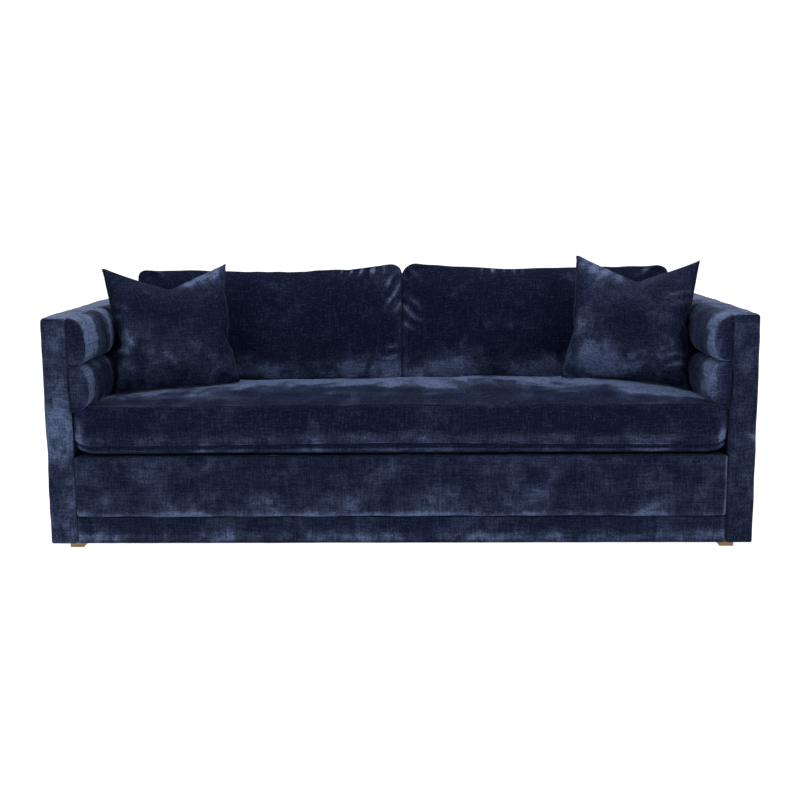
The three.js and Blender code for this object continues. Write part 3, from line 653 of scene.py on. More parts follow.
class SOFA_OT_arm_covers(bpy.types.Operator):
    """Cover the front, top and outer face of both arms"""

    bl_idname = "sofa.arm_covers"
    bl_label = "Arm covers"

    def execute(self, context):
        look = context.scene.tuxedo_sofa.cover
        for side, sign in SIDES.items():
            self.cover(look, side, sign)
            self.turn_in(look, side, sign)
        return {"FINISHED"}

    def cover(self, look, side, sign):
        """The outer shell of an arm, open below, at the back and on the inside."""
        low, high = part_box(f"arm_cover_{side}")
        hem_z, back_y = low.z, high.y
        # It starts as a closed block that is larger where the openings will be
        low.z -= look.edge_round
        high.y += look.edge_round
        size = high - low
        grid = 18 * MM
        near = [look.edge_round * share for share in EDGE_LINE_SHARES]
        form = shell(*(stations(size[k], grid, near) for k in range(3)))
        form.points = rounded(form.unit, low, high, look.edge_round)
        points = form.points
        a, b, c = (form.unit[:, k] for k in range(3))
        front, outside, top = b <= -1, a * sign >= 1, c >= 1
        swell = look.puff * (1 - np.abs(a) ** 3) * (1 - c**6) * front
        swell += look.puff * (1 - b**6) * (1 - c**6) * outside
        swell += look.puff * (1 - b**6) * (1 - a**4) * top
        swell += unevenness(points, (0.9, 160, 3 + sign), (0.4, 60, 9 + sign))
        back_seam = np.abs(points[:, 1] - low.y - look.edge_round * EDGE_LINE_SHARES[-2])
        swell += np.where(~front, seam(back_seam, 1.2 * MM, 0.4 * MM), 0)
        hem_nick, hem_width = 0.9 * MM, 1.6 * MM
        swell -= hem_nick * bell(points[:, 2] - hem_z - look.hem, hem_width)
        over_hem = points[:, 2] > hem_z - HAIR
        before_back = points[:, 1] < back_y + HAIR
        inside = (a * sign <= -1) & (points[:, 1] > low.y + look.edge_round + HAIR)
        form.push(swell * (points[:, 2] > hem_z + HAIR) * ~inside)
        opening = inside & (points[:, 2] < high.z - look.edge_round + HAIR)
        height = (points[:, 2] - hem_z) / (high.z - hem_z)
        form.pressed = 0.46 - 0.13 * sign + 0.15 * bell(height - 0.38, 0.3) + 0.15 * bell(height, 0.12)
        # Painted sheen: the top is painted lighter, as a top seen at a grazing angle under the lights
        form.pressed += np.where(top & ~front, 0.62, 0)
        form.keep(over_hem & before_back & ~opening)
        made = thicken(form.build(f"arm_{side}", velvet(), drift=sign), look.cloth)
        dress(made, "sofa_frame", "velvet", f"arm_cover_{side}")

    def turn_in(self, look, side, sign):
        """The cover's cloth where it turns round the front post, flat on the board inside the arm."""
        low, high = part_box(f"arm_cover_{side}")
        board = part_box(f"arm_liner_board_{side}")
        wall = low.x if sign > 0 else high.x
        gap = (board[0].x if sign > 0 else board[1].x) - wall
        thickness_share = 0.85
        near, far = sorted((wall, wall + gap * thickness_share))
        start, end = low.y + look.edge_round, high.y - look.edge_round
        corners = ((near, start, low.z + 1 * MM), (far, end, high.z - look.edge_round))
        spans = np.subtract(corners[1], corners[0])
        grid = 20 * MM
        form = shell(THIN, stations(spans[1], grid), stations(spans[2], grid))
        form.points = rounded(form.unit, *corners, 0.1 * MM)
        made = form.build(f"arm_turn_in_{side}", velvet(), drift=3 * sign)
        dress(made, "sofa_frame", "velvet")


# The rolls' outlines, from the upper edge to the lower: shares of the projection and of the height
UPPER_ROLL_SHARES = (
    (0.0, 1.0), (0.20, 0.985), (0.38, 0.962), (0.60, 0.91), (0.78, 0.80), (0.90, 0.66), (0.97, 0.50),
    (1.0, 0.38), (0.98, 0.26), (0.92, 0.15), (0.78, 0.07), (0.58, 0.025), (0.3, 0.005), (0.0, 0.0),
)
LOWER_ROLL_SHARES = (
    (0.0, 1.0), (0.22, 0.995), (0.46, 0.965), (0.68, 0.90), (0.86, 0.78), (0.96, 0.64), (1.0, 0.48),
    (0.98, 0.32), (0.91, 0.20), (0.76, 0.11), (0.56, 0.05), (0.3, 0.01), (0.0, 0.0),
)


def smooth_line(shares, count):
    """Evenly spread points on a smooth curve through the given ones."""
    knots = np.array(shares)
    ends = np.vstack([2 * knots[0] - knots[1], knots, 2 * knots[-1] - knots[-2]])
    steps = 12
    t = np.linspace(0, 1, steps, endpoint=False)[:, None]
    dense = []
    for p0, p1, p2, p3 in zip(ends, ends[1:], ends[2:], ends[3:]):
        slope = (p2 - p0) * t
        bend = (2 * p0 - 5 * p1 + 4 * p2 - p3) * t**2
        twist = (3 * p1 - p0 - 3 * p2 + p3) * t**3
        dense.append(0.5 * (2 * p1 + slope + bend + twist))
    line = np.vstack([*dense, knots[-1:]])
    run = np.concatenate([[0], np.cumsum(np.linalg.norm(np.diff(line, axis=0), axis=1))])
    even = np.linspace(0, run[-1], count)
    return np.stack([np.interp(even, run, line[:, k]) for k in range(2)], 1)


def tube(rings):
    """A form through rings that have the same number of points, closed at both ends."""
    count = len(rings[0])
    points = np.concatenate(rings)
    last = len(points) - count
    here = np.arange(count)
    following = (here + 1) % count
    strip = np.stack([here, following, following + count, here + count], 1)
    quads = np.concatenate([strip + start for start in range(0, last, count)])
    caps = [list(range(count))[::-1], list(range(last, last + count))]
    return Form(points, quads, caps)


# How much lighter the pile is painted just behind a channel's front and further in, how much darker after
# that, and how much lighter again at the far end: painted sheen and painted shade, on the pile's own pressing
CHANNEL_PILE_AND_LIGHT = {
    ("upper", "left"): (0.85, 0.70, 0.0, 1.0),
    ("lower", "left"): (0.40, -0.1, 0.35, 0.1),
    ("upper", "right"): (0.75, 0.1, 0.25, 0.1),
    ("lower", "right"): (0.45, 0.30, 0.0, -0.2),
}


class SOFA_OT_arm_channels(bpy.types.Operator):
    """Pad the inside of both arms with two rows of channels, drawn in at an upright seam"""

    bl_idname = "sofa.arm_channels"
    bl_label = "Arm channels"

    def execute(self, context):
        look = context.scene.tuxedo_sofa.channel
        for side, sign in SIDES.items():
            for row, shares in (("upper", UPPER_ROLL_SHARES), ("lower", LOWER_ROLL_SHARES)):
                self.channel(look, side, sign, row, shares)
        return {"FINISHED"}

    def rings(self, low, high, end):
        """Each ring's scale, place and inset: those of the front panel, of its rim, and along the arm."""
        bulge, step, rear_gap = 1.6 * MM, 5 * MM, 1 * MM
        panel_shares = (0.1, 0.3, 0.5, 0.7, 0.85, 0.94)
        first_angle, rim_rings = 0.06, 7
        rings = [(share, low.y - bulge * (1 - share**4), end) for share in panel_shares]
        for angle in np.linspace(first_angle, math.pi / 2, rim_rings):
            rings.append((1.0, low.y + end * (1 - math.cos(angle)), end * (1 - math.sin(angle))))
        for y in np.arange(low.y + end + step, high.y - rear_gap, step):
            rings.append((1.0, y, 0.0))
        return rings

    def channel(self, look, side, sign, row, shares):
        """One roll, shaped on the right arm and mirrored for the left one."""
        node = f"arm_channel_{row}_{side}"
        low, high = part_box(node)
        upper = row == "upper"
        wall = max(abs(low.x), abs(high.x))
        middle, half = (low.z + high.z) / 2, (high.z - low.z) / 2
        fullness = 1 if upper else 1.06
        projection = look.projection * fullness
        end = look.end_left if sign < 0 else look.end_right
        seed = 20 + 3 * sign + upper
        points_round = 60
        around = smooth_line(shares, points_round)
        towards_pit = 1 - around[:, 1] if upper else around[:, 1]
        rings = []
        for scale, y, inset in self.rings(low, high, end):
            from_seam = abs(y - look.seam_y)
            t = min(from_seam / look.reach, 1)
            swell = look.seam_share + (1 - look.seam_share) * math.sqrt(1 - (1 - t) ** 2)
            corner = (1 - min(from_seam / look.pit_reach, 1)) ** 1.5
            away = (1 if upper else -1) * look.pit * corner * towards_pit
            out = np.maximum(around[:, 0] * projection * swell - inset, 0) * scale
            rise = ((around[:, 1] * 2 - 1) * (half - inset) + away) * scale
            rings.append(np.stack([wall - out, np.full_like(out, y), middle + rise], 1))
        form = tube(rings)
        points = form.points
        y, z = points[:, 1], points[:, 2]
        share_out = (wall - points[:, 0]) / projection
        # Upright folds: their place behind the front, their slant and their share of the full depth
        folds = 0
        for place, slant, depth_share in ((0.075, 0.12, 0.5), (0.175, -0.15, 1.0), (0.29, 0.1, 0.7)):
            place += 12 * MM * math.sin(seed * place * 90)
            line = y - (low.y + place) - slant * (z - middle)
            ridge = 0.5 * bell(line - 40 * MM, 28 * MM)
            folds = folds + look.fold * depth_share * (ridge - bell(line, 24 * MM))
        gather_depth, gather_turns = 1.6 * MM, 9
        at_seam = bell(np.abs(y - look.seam_y) - 12 * MM, 28 * MM)
        gathers = np.cos((z - middle) / half * gather_turns + seed) * at_seam * gather_depth
        uneven = unevenness(points, (1.4, 150, seed), (0.2, 50, seed + 50))
        shown = np.clip(share_out * 3, 0, 1)
        form.push(np.where(y < low.y + end * 0.5, 0.35 * uneven, (folds + gathers + uneven) * shown))
        parting = low.z if upper else high.z
        form.pressed = self.pile(points, CHANNEL_PILE_AND_LIGHT[row, side], sign, low.y, parting, seed)
        # The front panel has a pile of its own, painted lighter towards its rim on the right arm as a painted
        # highlight, and along the roll the cloth shows as coarse as on the front
        panel = 0.15 + 0.75 * np.clip(share_out, 0, 1) ** 1.5 if sign > 0 else 0.30
        behind = y - low.y
        form.pressed += np.where(behind < end * 0.5, panel - form.pressed, 0)
        stretch_share = 0.65
        form.stretch[:, 1] = -stretch_share * behind
        if sign < 0:
            form.points[:, 0] *= -1
            form.quads = form.quads[:, ::-1]
            form.caps = [cap[::-1] for cap in form.caps]
        made = form.build(f"channel_{row}_{side}", velvet(), drift=seed)
        dress(made, "sofa_frame", "velvet", node, fill=0.75)

    def pile(self, points, bands, sign, front, parting, seed):
        """How pressed the pile is, with painted sheen and painted shade: in wandering bands, with upright
        streaks in them.
        """
        near, further, dark, far = bands
        behind = points[:, 1] - front
        wandering = behind + unevenness(points * (1, 0.3, 1), (7, 60, seed + 9))
        lit = near * bell(wandering - 48 * MM, 55 * MM) + further * bell(wandering - 130 * MM, 45 * MM)
        # On the left arm, painted shade where the two rows meet
        if sign < 0:
            lit *= 1 - 0.6 * bell(points[:, 2] - parting, 35 * MM)
        # Lit bands of painted sheen and a darker band of painted shade, on the pile's own pressing
        pressed = 0.48 + lit - dark * bell(behind - 200 * MM, 70 * MM)
        pressed += far * bell(wandering - 335 * MM, 50 * MM)
        broad, fine = (0.06, 0.04) if sign > 0 else (0.12, 0.12)
        pressed += broad * ripple(points * (0.2, 1, 0.2), 0.03, seed + 7)
        pressed += fine * ripple(points * (0.1, 1, 0.1), 0.016, seed + 8)
        return pressed


class SOFA_OT_front_covers(bpy.types.Operator):
    """Cover the front rail and the recessed band under it"""

    bl_idname = "sofa.front_covers"
    bl_label = "Front rail and band"

    def execute(self, context):
        look = context.scene.tuxedo_sofa.cover
        self.rail(look)
        self.band(look)
        return {"FINISHED"}

    def rail(self, look):
        """The padded front of the rail, with a wavy lower edge."""
        low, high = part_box("front_rail_cover")
        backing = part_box("front_rail")[0].y - 0.5 * MM
        depth = backing - low.y
        near = [look.rail_round * share for share in (0.2, 0.4, 0.6, 0.8, 1, 1.5, 2.2)]
        xs = stations(high.x - low.x, 14 * MM, near)
        ys = stations(depth, 6 * MM)
        zs = stations(high.z - low.z, 10 * MM, near)
        form = shell(xs, ys, zs)
        # Its upper and lower edges are nearly half round
        radius = depth / 2.05
        form.points = rounded(form.unit, low, (high.x, backing, high.z), radius)
        a, c = form.unit[:, 0], form.unit[:, 2]
        points = form.points
        facing = np.clip(-form.normals()[:, 1], 0, 1)
        padding = 1.8 * MM * (1 - c**4) * (1 - a**20)
        form.push(facing * (padding + unevenness(points, (0.9, 210, 31), (0.5, 70, 32))))
        x, height = points[:, 0], points[:, 2] - low.z
        form.points[:, 2] += bell(height, 12 * MM) * unevenness(points * (1, 0, 0), (1.3, 120, 33))
        from_end = high.x - np.abs(x)
        form.pressed = 0.32 - 0.07 * x + 0.12 * ripple(points, 0.16, 34) + 0.06 * bell(x, 0.4)
        form.pressed += 0.45 * bell(height - 4 * MM, 14 * MM) + 0.20 * bell(height - 50 * MM, 50 * MM)
        # Painted highlights on the rounded ends, stronger at the right end
        form.pressed += (0.6 + 0.3 * np.sign(x)) * bell(from_end - 2 * MM, 6 * MM)
        made = form.build("rail_cover", velvet(), drift=8)
        dress(made, "sofa_frame", "velvet", "front_rail_cover")
        self.flap(low, high, backing)

    def flap(self, low, high, backing):
        """The rail's cloth where it is turned in over the front rail, up to the deck."""
        deck_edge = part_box("seat_deck")[0].y
        thickness, inset = 6.5 * MM, 12 * MM
        form = shell(stations(high.x - low.x, 60 * MM), np.linspace(-1, 1, 6), THIN)
        start = (low.x + inset, backing - 4 * MM, high.z - thickness)
        end = (high.x - inset, deck_edge - 0.5 * MM, high.z)
        form.points = rounded(form.unit, start, end, 1 * MM)
        dress(form.build("rail_flap", velvet(), drift=6), "sofa_frame", "velvet")

    def band(self, look):
        """The cover of the band, with a stitched hem."""
        low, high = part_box("base_band_cover")
        low.z -= look.band_drop
        near = [d * MM for d in (1.2, 2.5, 4, 6.2, 7.4, 8.6, 10, 13)]
        xs = stations(high.x - low.x, 14 * MM, near[:6])
        ys = stations(high.y - low.y, 5 * MM)
        zs = stations(high.z - low.z, 8 * MM, near)
        form = shell(xs, ys, zs)
        form.points = rounded(form.unit, low, high, 2.5 * MM)
        points = form.points
        facing = np.clip(-form.normals()[:, 1], 0, 1)
        height = points[:, 2] - low.z
        stitching = 1.4 * MM * bell(height - look.hem, 1.5 * MM)
        form.push(facing * (unevenness(points, (0.8, 170, 41), (0.5, 60, 42)) - stitching))
        from_end = high.x - np.abs(points[:, 0])
        # The ends carry painted highlights, as on the rail
        form.pressed = 0.28 + 0.50 * bell(height - 20 * MM, 20 * MM) + 0.5 * bell(from_end, 10 * MM)
        made = form.build("band_cover", velvet(), drift=7)
        dress(made, "sofa_frame", "velvet", "base_band_cover")


class SOFA_OT_back_covers(bpy.types.Operator):
    """Cover the outside of the back, and pad its inside"""

    bl_idname = "sofa.back_covers"
    bl_label = "Back covers"

    def execute(self, context):
        self.outside(context.scene.tuxedo_sofa.cover)
        self.inside()
        return {"FINISHED"}

    def outside(self, look):
        """The outer shell of the back: its rear, and the strip on top between the arms."""
        low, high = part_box("back_cover")
        hem_z = low.z
        low.z -= look.edge_round
        arm_low, arm_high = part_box("arm_cover_right")
        arm_end, arm_inside = arm_high.y, arm_low.x
        near = [look.edge_round * share for share in EDGE_LINE_SHARES]
        size = high - low
        grid = 20 * MM
        xs, ys, zs = (stations(size[k], grid, near) for k in range(3))
        # The top strip ends where the arms' covers begin
        meeting = (arm_inside - 0.5 * MM) / (size.x / 2)
        for place in (-meeting, meeting):
            xs[np.argmin(np.abs(xs - place))] = place
        form = shell(xs, ys, zs)
        form.points = rounded(form.unit, low, high, look.edge_round)
        a, b, c = (form.unit[:, k] for k in range(3))
        points = form.points
        padding = 2.0 * MM * (1 - c**6) * (1 - a**10) * (b >= 1)
        swell = padding + unevenness(points, (1.2, 240, 51), (0.5, 80, 52))
        form.push(swell * (points[:, 2] > hem_z + HAIR))
        height = points[:, 2] - hem_z
        from_top = high.z - points[:, 2]
        form.pressed = 0.34 + 0.3 * bell(height - 100 * MM, 120 * MM) + 0.3 * bell(from_top, 30 * MM)
        behind = points[:, 1] > arm_end - HAIR
        on_top = (points[:, 2] > high.z - look.lip) & (np.abs(points[:, 0]) < arm_inside)
        form.keep((behind | on_top) & (points[:, 2] > hem_z - HAIR))
        made = thicken(form.build("back_outside", velvet(), drift=8), look.cloth)
        dress(made, "sofa_frame", "velvet", "back_cover")

    def inside(self):
        """The leaning pad that the back cushions rest on."""
        node = "back_pad"
        axes = Axes(node, (1, 0, 0), slide_axis("left_back_cushion_lift"))
        near = [d * MM for d in (1, 2, 3, 6)]
        across, up, deep = axes.size
        form = shell(stations(across, 30 * MM, near), stations(up, 20 * MM, near), stations(deep, 8 * MM))
        form.points = rounded(form.unit, axes.low, axes.high, 3 * MM)
        form.push(unevenness(form.points, (0.8, 200, 55)))
        made = form.build("back_inside", velvet(), axes.matrix, drift=9)
        dress(made, "sofa_frame", "velvet", node, fill=0.5)


# Loose cushions

# Folds in the top of the seat cushion, as creases() takes them
SEAT_FOLDS = (
    ((-0.985, -0.95), (-0.86, -0.80), 12, 4.0),
    ((-0.96, -0.60), (-0.80, -0.62), 14, 4.0),
    ((0.985, -0.95), (0.87, -0.78), 12, 4.0),
    ((0.97, -0.45), (0.82, -0.52), 14, 4.0),
    ((-0.60, -0.30), (-0.40, -0.42), 18, 2.5),
    ((0.30, -0.20), (0.52, -0.34), 18, 2.5),
)


class SOFA_OT_seat_cushion(bpy.types.Operator):
    """Make the bench seat cushion: crowned, boxed, with seams round both panels"""

    bl_idname = "sofa.seat_cushion"
    bl_label = "Seat cushion"

    def execute(self, context):
        look = context.scene.tuxedo_sofa.seat
        forward = np.array(slide_axis("bench_cushion_pull"))
        axes = Axes("seat_cushion", (1, 0, 0), -forward)
        width, run, _ = axes.size
        half = np.array([width, run]) / 2
        grid, upright_grid = 11 * MM, 8 * MM
        near = (*SEAM_LINES, 26 * MM, 34 * MM, 44 * MM)
        upright_near = (*SEAM_LINES[:5], 12.5 * MM, 15 * MM, 19 * MM)
        upright = stations(look.boxing, upright_grid, upright_near)
        form = shell(stations(width, grid, near), stations(run, grid, near), upright)
        unit = form.unit
        a, c = unit[:, 0], unit[:, 2]
        top, bottom = c >= 1, c <= -1
        side = ~top & ~bottom
        flat = plan(unit, half, look.corner, (0, 3 * MM, 3 * MM))
        from_end = width / 2 - np.abs(flat[:, 0])
        height = self.height(look, unit, half, from_end)
        form.points = np.column_stack([flat + axes.middle[:2], height + axes.low[2]])
        points = form.points
        normals = form.normals()

        # The lower seam is sewn twice, and the boxing swells between the seams
        nick, thread_nick, second_nick = 3.0 * MM, 1.5 * MM, 3.6 * MM
        thread_width, second_place, boxing_swell = 1.4 * MM, 4.5 * MM, 3.0 * MM
        distance = np.where(side, (1 - np.abs(c)) * look.boxing / 2, edge_distance(unit, half))
        swell = seam(distance, nick) - thread_nick * bell(distance, thread_width)
        swell = swell + np.where(side, boxing_swell * (1 - c**2), 0)
        rise = (c + 1) / 2 * look.boxing
        second = np.abs(rise - second_place)
        swell -= np.where(side, second_nick * bell(second, thread_width), 0)
        calm = np.where(bottom, 0.2, 1)
        swell += calm * unevenness(points, (1.9, 260, 61), (0.8, 90, 62))
        form.push(swell + top * creases(points - axes.middle, half, SEAT_FOLDS))

        # The boxing is lighter low down and on the underside's rim. A broad band of painted sheen runs along
        # the top, with a painted highlight along its front edge, and the front is lighter towards its ends
        front = np.clip(-normals[:, 1], 0, 1)
        form.pressed = 0.12 - 0.05 * a + 0.10 * ripple(points, 0.13, 67)
        form.pressed += front * (0.44 * bell(rise - 22 * MM, 20 * MM) + 0.45 * bottom)
        form.pressed += top * (self.painted_sheen_band(points, flat, a) + 0.25 * (flat[:, 1] < 6 * MM - half[1]))
        form.pressed += 0.80 * bell(from_end - 10 * MM, 20 * MM) * front * bell(rise - 32 * MM, 55 * MM)
        # Painted shade in the seams, and a painted highlight beside the lower seam's second stitching
        form.pressed -= np.where(side, 0.9 * bell(second, 1.5 * MM), 0) + 0.9 * bell(distance, 1.5 * MM)
        form.pressed += np.where(side, 0.4 * bell(second - 3 * MM, 1.5 * MM), 0)
        # Laid along the top, the cloth shows as coarse as on the front
        stretch_share = 0.4
        along_top = flat[:, 1] + half[1]
        form.stretch[:, 1] = np.where(top, -stretch_share * along_top, 0)
        made = form.build("seat_cushion_cover", velvet(), axes.matrix, drift=11)
        dress(made, "bench_cushion", "velvet", "seat_cushion", fill=0.8)
        return {"FINISHED"}

    def height(self, look, unit, half, from_end):
        """How high the cushion's points lie, before it has its seams and folds."""
        a, b, c = (unit[:, k] for k in range(3))
        top, bottom = c >= 1, c <= -1
        bow = look.bow * bell(a, 0.45)
        height = look.under + look.boxing * (c + 1) / 2 + bow * (1 - c) / 2
        # The crown runs up from the front seam to its crest, and sinks under the back cushions behind it
        crest = look.crest * 2 - 1
        ahead = 1 - np.clip((crest - b) / (1 + crest), 0, 1) ** 2.3
        past = np.clip((b - crest) / (1 - crest), 0, 1)
        hollow = np.clip(past / 0.45, 0, 1)
        sunk = 1 - (1 - look.behind) * hollow**2 * (3 - 2 * hollow)
        dome = ahead * sunk * (1 - past**12)
        # Seen from the front it is fuller to the right, and slightly uneven
        across = 1 - np.abs(a) ** np.where(a > 0, 4.5, 2.4)
        uneven = look.uneven * (bell(a - 0.33, 0.13) - bell(a + 0.27, 0.18))
        fuller = look.fuller * bell(a - 0.74, 0.17) + uneven
        height = height + np.where(top, (look.crown * across + fuller) * dome, 0)
        # The underside is flat inside its rounded rim
        rim = np.clip(1 - edge_distance(unit, half) / look.under_round, 0, 1)
        height = height - np.where(bottom, (look.under + bow) * np.sqrt(1 - rim**2), 0)
        height = height - look.side_drop * np.clip((c + 1) / 2, 0, 1) * a**24
        # The lower corners round up, as the filling doesn't reach into them
        corner = np.clip(1 - from_end / look.corner_width, 0, 1)
        lift = look.corner_rise * (1 - np.sqrt(1 - corner**2))
        return height + lift * np.clip((1 - c) / 2, 0, 1) ** 1.5

    def painted_sheen_band(self, points, flat, a):
        """A broad band of painted sheen along the top near its crest, which bends to the front at the ends,
        with some unevenness of the pile in it.
        """
        ends = np.clip((np.abs(a) - 0.42) / 0.58, 0, 1)
        middle = 60 * MM - np.where(a > 0, 240 * MM, 130 * MM) * ends
        band = (1.05 - 0.2 * np.clip(-a, 0, 1)) * bell(flat[:, 1] - middle, 210 * MM)
        return band + 0.15 * ripple(points * (1, 0.6, 1), 0.1, 66)


# Folds in the front of each back cushion, counted towards its inner side, as creases() takes them
CUSHION_FOLDS = {
    "left": (
        ((0.975, 0.78), (0.90, 0.46), 9, 2.8),
        ((0.98, 0.42), (0.91, 0.18), 9, 2.4),
        ((0.98, -0.54), (0.86, -0.60), 8, 2.8),
        ((-0.92, 0.92), (-0.78, 0.62), 12, 2.5),
    ),
    "right": (
        ((0.985, 0.37), (0.87, 0.08), 9, 3.0),
        ((0.985, 0.05), (0.87, -0.12), 9, 2.6),
        ((0.97, 0.86), (0.90, 0.66), 9, 2.2),
        ((-0.92, 0.90), (-0.76, 0.60), 12, 2.5),
    ),
}

# The upper edge of each back cushion: the share of the corner radius at its outer and its inner end, and how
# far its outer end and its middle are raised, in millimetres
CUSHION_TOPS = {"left": ((0.65, 0.7), -14, -3), "right": ((0.9, 1.0), -6, 5)}


class SOFA_OT_back_cushions(bpy.types.Operator):
    """Make the two loose back cushions, with their raised corners and sunk top edges"""

    bl_idname = "sofa.back_cushions"
    bl_label = "Back cushions"

    def execute(self, context):
        look = context.scene.tuxedo_sofa.back_cushion
        for side, sign in SIDES.items():
            self.cushion(look, side, sign)
        return {"FINISHED"}

    def cushion(self, look, side, sign):
        """One back cushion, shaped in the plane that it leans in."""
        node = f"back_cushion_{side}"
        axes = Axes(node, (1, 0, 0), slide_axis(f"{side}_back_cushion_lift"))
        width, run, _ = axes.size
        half = np.array([width, run]) / 2
        grid, deep_grid = 9 * MM, 10 * MM
        near = (*SEAM_LINES, 26 * MM, 34 * MM, 43 * MM, 52 * MM)
        deep = stations(look.boxing, deep_grid, SEAM_LINES[:5])
        form = shell(stations(width, grid, near), stations(run, grid, near), deep)
        unit = form.unit
        a, b, c = (unit[:, k] for k in range(3))
        inner = -a * sign
        front, rear = c >= 1, c <= -1
        side_panel = ~front & ~rear
        flat = self.outline(look, side, unit, half, inner)
        depth = look.rear_crown + look.boxing * (c + 1) / 2
        share = edge_share(unit, 6)
        depth = depth + np.where(front, look.crown * (1 - share**3.2), 0)
        depth = depth - np.where(rear, look.rear_crown * (1 - share**12), 0)
        # The underside settles flat on the seat
        flat[:, 1] -= depth * math.tan(look.settle) * np.clip(-b, 0, 1) ** 2
        form.points = np.column_stack([flat + axes.middle[:2], depth + axes.low[2]])
        points = form.points

        nick, boxing_swell, facing_swell = 2.0 * MM, 3.5 * MM, 4.0 * MM
        pucker_depth, meeting_gap = 1.5 * MM, 0.3 * MM
        distance = np.where(side_panel, (1 - np.abs(c)) * look.boxing / 2, edge_distance(unit, half))
        swell = seam(distance, nick)
        swell = swell + np.where(side_panel & (np.abs(a) < 1), boxing_swell * (1 - c**2), 0)
        calm = np.where(rear, 0.2, 1)
        swell += calm * unevenness(points, (2.6, 240, 70 + sign), (1.1, 80, 75 + sign))
        puckers = self.puckers(look, points, side, inner, (1 - b) * half[1]) * front
        folds = front * creases(points - axes.middle, half, CUSHION_FOLDS[side], -sign)
        # The sides that face each other are filled out, and press each other flat where they meet
        facing = side_panel & (inner >= 1)
        swell = swell + np.where(facing, facing_swell * (1 - c**4), 0)
        form.push(swell + pucker_depth * puckers + folds)
        form.points[:, 0] = sign * np.maximum(sign * form.points[:, 0], meeting_gap)

        # Painted light low on the front, where little light reaches, less of it at the inner side and a
        # little more at the inner edge; painted highlights on the puckers and folds
        painted_light_low = bell((b + 1) * half[1] - 32 * MM, 50 * MM)
        painted_light_low *= 0.80 - 0.30 * bell(inner - 1, 0.12) + 0.12 * ripple(points, 0.16, 78 + sign)
        # A painted shadow beside each pillow
        beside = bell(np.abs(points[:, 0]) - 560 * MM, 35 * MM)
        beside *= np.clip((0.9 - b) / 0.3, 0, 1) * np.clip((b + 0.6) / 0.4, 0, 1)
        form.pressed = 0.07 + painted_light_low + 1.2 * np.clip(puckers, 0, 1) - 0.5 * beside
        form.pressed += 0.12 * bell((1 - inner) * half[0], 30 * MM) + np.clip(folds / (2.5 * MM), 0, 0.6)
        # Painted shade on the top edge
        form.pressed -= 0.5 * (side_panel & (b >= 1))
        made = form.build(f"back_cushion_cover_{side}", velvet(), axes.matrix, drift=13 + sign)
        dress(made, f"{side}_back_cushion", "velvet", node, fill=0.6)

    def outline(self, look, side, unit, half, inner):
        """The cushion's outline: its outer side is drawn in, and its top edge sinks between the corners."""
        a, b = unit[:, 0], unit[:, 1]
        corner_shares, outer_rise, middle_rise = CUSHION_TOPS[side]
        inner_rise, lower_share = 5 * MM, 0.35
        side_pull = np.where(inner > 0, -look.inner_swell, look.side_pull)
        radius = look.corner * np.where(b < 0, lower_share, np.where(inner < 0, *corner_shares))
        flat = plan(unit, half, radius[:, None], (side_pull, look.top_pull, 0))
        level = bell(inner - 0.86, 0.16) * inner_rise + bell(inner + 0.88, 0.30) * outer_rise * MM
        level = level + middle_rise * MM * (1 - a**2)
        flat[:, 1] += np.clip(b, 0, 1) ** 2 * level
        return flat

    def puckers(self, look, points, side, inner, from_top):
        """Small gathers along a part of the top edge."""
        start, end = look.gathered[0:2] if side == "left" else look.gathered[2:4]
        pitch, fade_share = 36 * MM, 0.15
        waves = np.cos(points[:, 0] * 2 * math.pi / pitch + 3 * ripple(points, 0.2, 79))
        gathered = np.clip((inner - start) / fade_share, 0, 1) * np.clip((end - inner) / fade_share, 0, 1)
        return waves * gathered * bell(from_top - 12 * MM, 22 * MM)


# Pillows

# Small folds near the outer side of each pillow, counted towards that side, as creases() takes them
PILLOW_FOLDS = {
    "left": (((0.88, -0.20), (0.66, -0.42), 8, 3), ((0.90, 0.30), (0.74, 0.22), 8, 3)),
    "right": (((0.93, 0.42), (0.60, 0.30), 8, 3), ((0.90, -0.56), (0.64, -0.62), 8, 3)),
}


